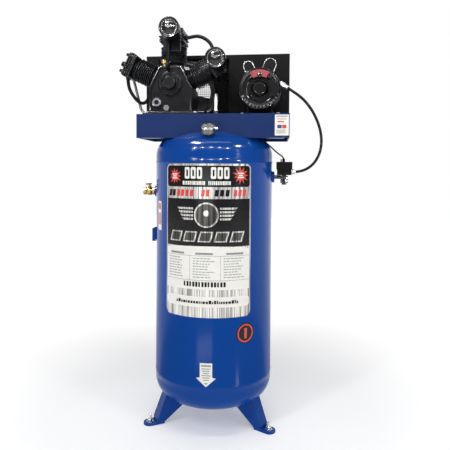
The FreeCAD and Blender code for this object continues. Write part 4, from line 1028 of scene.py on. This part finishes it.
lens_spot, gauge_axis = gauge_frame()
lathe("gauge_dial", [(0, -0.0094), (0.0246, -0.0094), (0.0246, -0.0084), (0, -0.0084)],
      lens_spot, gauge_axis, DIAL)
dial_up = Vector((0.0, gauge_axis.z, -gauge_axis.y))
bm = bmesh.new()
for i in range(21):
    a = math.radians(225 - 13.5 * i)
    spoke = X * math.cos(a) + dial_up * math.sin(a)
    cross = gauge_axis.cross(spoke)
    reach = 0.0145 if i % 5 == 0 else 0.0175
    add_prism(bm, rectangle(-0.0004, 0.0004, reach, 0.0215), lens_spot - gauge_axis * 0.0084,
              cross * -1, spoke, 0.0002)
piece("gauge_marks", finish_mesh("gauge_marks", bm), BLACK, "frame", 0)
bm = bmesh.new()
add_lathe(bm, [(0.0252, -0.002), (0.0282, -0.002), (0.0286, 0.0012), (0.027, 0.0026),
               (0.0252, 0.0018)], lens_spot, gauge_axis, 48, True)
piece("gauge_bezel", finish_mesh("gauge_bezel", bm), CHROME, "frame", 40)

lathe("gauge_lock", [(0, 0), (0.006, 0), (0.007, 0.002), (0.007, 0.009), (0.005, 0.012),
                     (0, 0.012)], lens_spot + X * 0.0275 - gauge_axis * 0.006, X, CHROME)

TRAY_FRONT = -0.163


def flat(name, shapes, y, thick, material):
    """Flat printed shapes on the tray's front face."""
    bm = bmesh.new()
    for shape in shapes:
        add_prism(bm, shape, (0, y, 0), X, Z, thick)
    return piece(name, finish_mesh(name, bm), material, "frame", 0)


flat("tray_label", [rounded(0.264, 0.320, 1.221, 1.305, 0.002)], TRAY_FRONT, 0.0005, WHITE)
lines = [rectangle(0.270, 0.314, 1.2965, 1.3005)]
for i in range(5):
    z = 1.2300 + 0.0032 * i
    lines.append(rectangle(0.271, 0.310 - 0.003 * (i % 3), z, z + 0.0012))
for i in range(2):
    z = 1.2850 + 0.0040 * i
    lines.append(rectangle(0.273, 0.311 - 0.004 * (i % 2), z, z + 0.0012))
flat("tray_label_lines", lines, TRAY_FRONT - 0.0005, 0.0003, GREY)
flat("tray_label_red", [rectangle(0.275, 0.300, 1.2740, 1.2790)]
     + [rectangle(0.293, 0.310, 1.2500, 1.2636)],
     TRAY_FRONT - 0.0005, 0.0003, REDPRINT)
flat("tray_label_blue", [rectangle(0.274, 0.291, 1.2500, 1.2636)], TRAY_FRONT - 0.0008, 0.0003,
     BLUEPRINT)

bm = bmesh.new()
for degrees in (-60, 60, 180):
    a = math.radians(degrees)
    spot = Vector((0.291 * math.sin(a), -0.291 * math.cos(a), 0.008))
    add_bolt(bm, spot, Z, 0.021, 0.014, True, 0.020)
piece("anchor_studs", finish_mesh("anchor_studs", bm), CHROME, "frame", 30)


# ---- floor and light --------------------------------------------------------------------

bm = bmesh.new()
add_prism(bm, rectangle(-9, 9, -7, 9), (0, 0, -0.02), X, Y, 0.0199)
floor_mesh = finish_mesh("floor", bm)
floor = bpy.data.objects.new("floor", floor_mesh)
scene.collection.objects.link(floor)
ground = Shader("floor_white")
ground.link(ground.ramp(ground.noise(2.0), [(0.3, (0.86, 0.86, 0.86)), (0.7, (0.88, 0.88, 0.88))]),
            ground.bsdf.inputs["Base Color"])
ground.set(Roughness=0.8)
# Painted light: the floor glows, least near the tank and more further out, so that it reads as a
# pale backdrop.
ground.bsdf.inputs["Emission Color"].default_value = (1, 1, 1, 1)
spread = ground.tree.nodes.new("ShaderNodeVectorMath")
spread.operation = "LENGTH"
where = ground.tree.nodes.new("ShaderNodeTexCoord")
glow = ground.tree.nodes.new("ShaderNodeMapRange")
for key, number in (("From Min", 0.7), ("From Max", 2.6), ("To Min", 0.28), ("To Max", 0.85)):
    glow.inputs[key].default_value = number
ground.tree.links.new(where.outputs["Object"], spread.inputs[0])
ground.tree.links.new(spread.outputs["Value"], glow.inputs["Value"])
ground.tree.links.new(glow.outputs["Result"], ground.bsdf.inputs["Emission Strength"])
floor_mesh.materials.append(ground.material)

world = bpy.data.worlds.new("studio")
scene.world = world
world.use_nodes = True
sky = world.node_tree.nodes["Background"]
sky.inputs["Color"].default_value = (1, 1, 1, 1)
generated = world.node_tree.nodes.new("ShaderNodeTexCoord")
split = world.node_tree.nodes.new("ShaderNodeSeparateXYZ")
backdrop = world.node_tree.nodes.new("ShaderNodeMapRange")
for key, number in (("From Min", 0.45), ("From Max", 0.7), ("To Min", 0.33), ("To Max", 1.0)):
    backdrop.inputs[key].default_value = number
world.node_tree.links.new(generated.outputs["Generated"], split.inputs["Vector"])
world.node_tree.links.new(split.outputs["Y"], backdrop.inputs["Value"])
world.node_tree.links.new(backdrop.outputs["Result"], sky.inputs["Strength"])


def softbox(name, spot, target, width, height, watts, colour=(1, 1, 1)):
    light = bpy.data.lights.new(name, "AREA")
    light.shape = "RECTANGLE"
    light.size, light.size_y = width, height
    light.energy = watts
    light.color = colour
    obj = bpy.data.objects.new(name, light)
    scene.collection.objects.link(obj)
    obj.location = spot
    obj.rotation_euler = (Vector(target) - Vector(spot)).to_track_quat("-Z", "Y").to_euler()
    return obj


softbox("key", (-1.7, -2.4, 3.0), (0, 0, 1.1), 0.35, 1.2, 26)
softbox("fill", (2.3, -1.8, 1.8), (0, 0, 0.9), 0.3, 1.6, 14)
softbox("overhead", (0.2, -0.9, 3.4), (0, 0, 1.2), 1.8, 0.2, 18)
softbox("low_front", (-0.5, -3.2, 0.9), (0, 0, 0.8), 1.6, 0.3, 7)
# small lamps that only show as glints
glints = [softbox(f"spot_{i}", (-1.3 + 0.65 * i, -2.0, 2.6), (0, 0, 1.2), 0.10, 0.10, 22)
          for i in range(5)]
glints.append(softbox("ceiling_left", (-0.95, -0.85, 3.2), (0, -0.25, 1.2), 0.60, 0.30, 110))
glints.append(softbox("ceiling_right", (1.75, -0.95, 2.9), (0, -0.25, 1.2), 0.30, 0.25, 70))
for lamp in glints:
    lamp.visible_diffuse = False
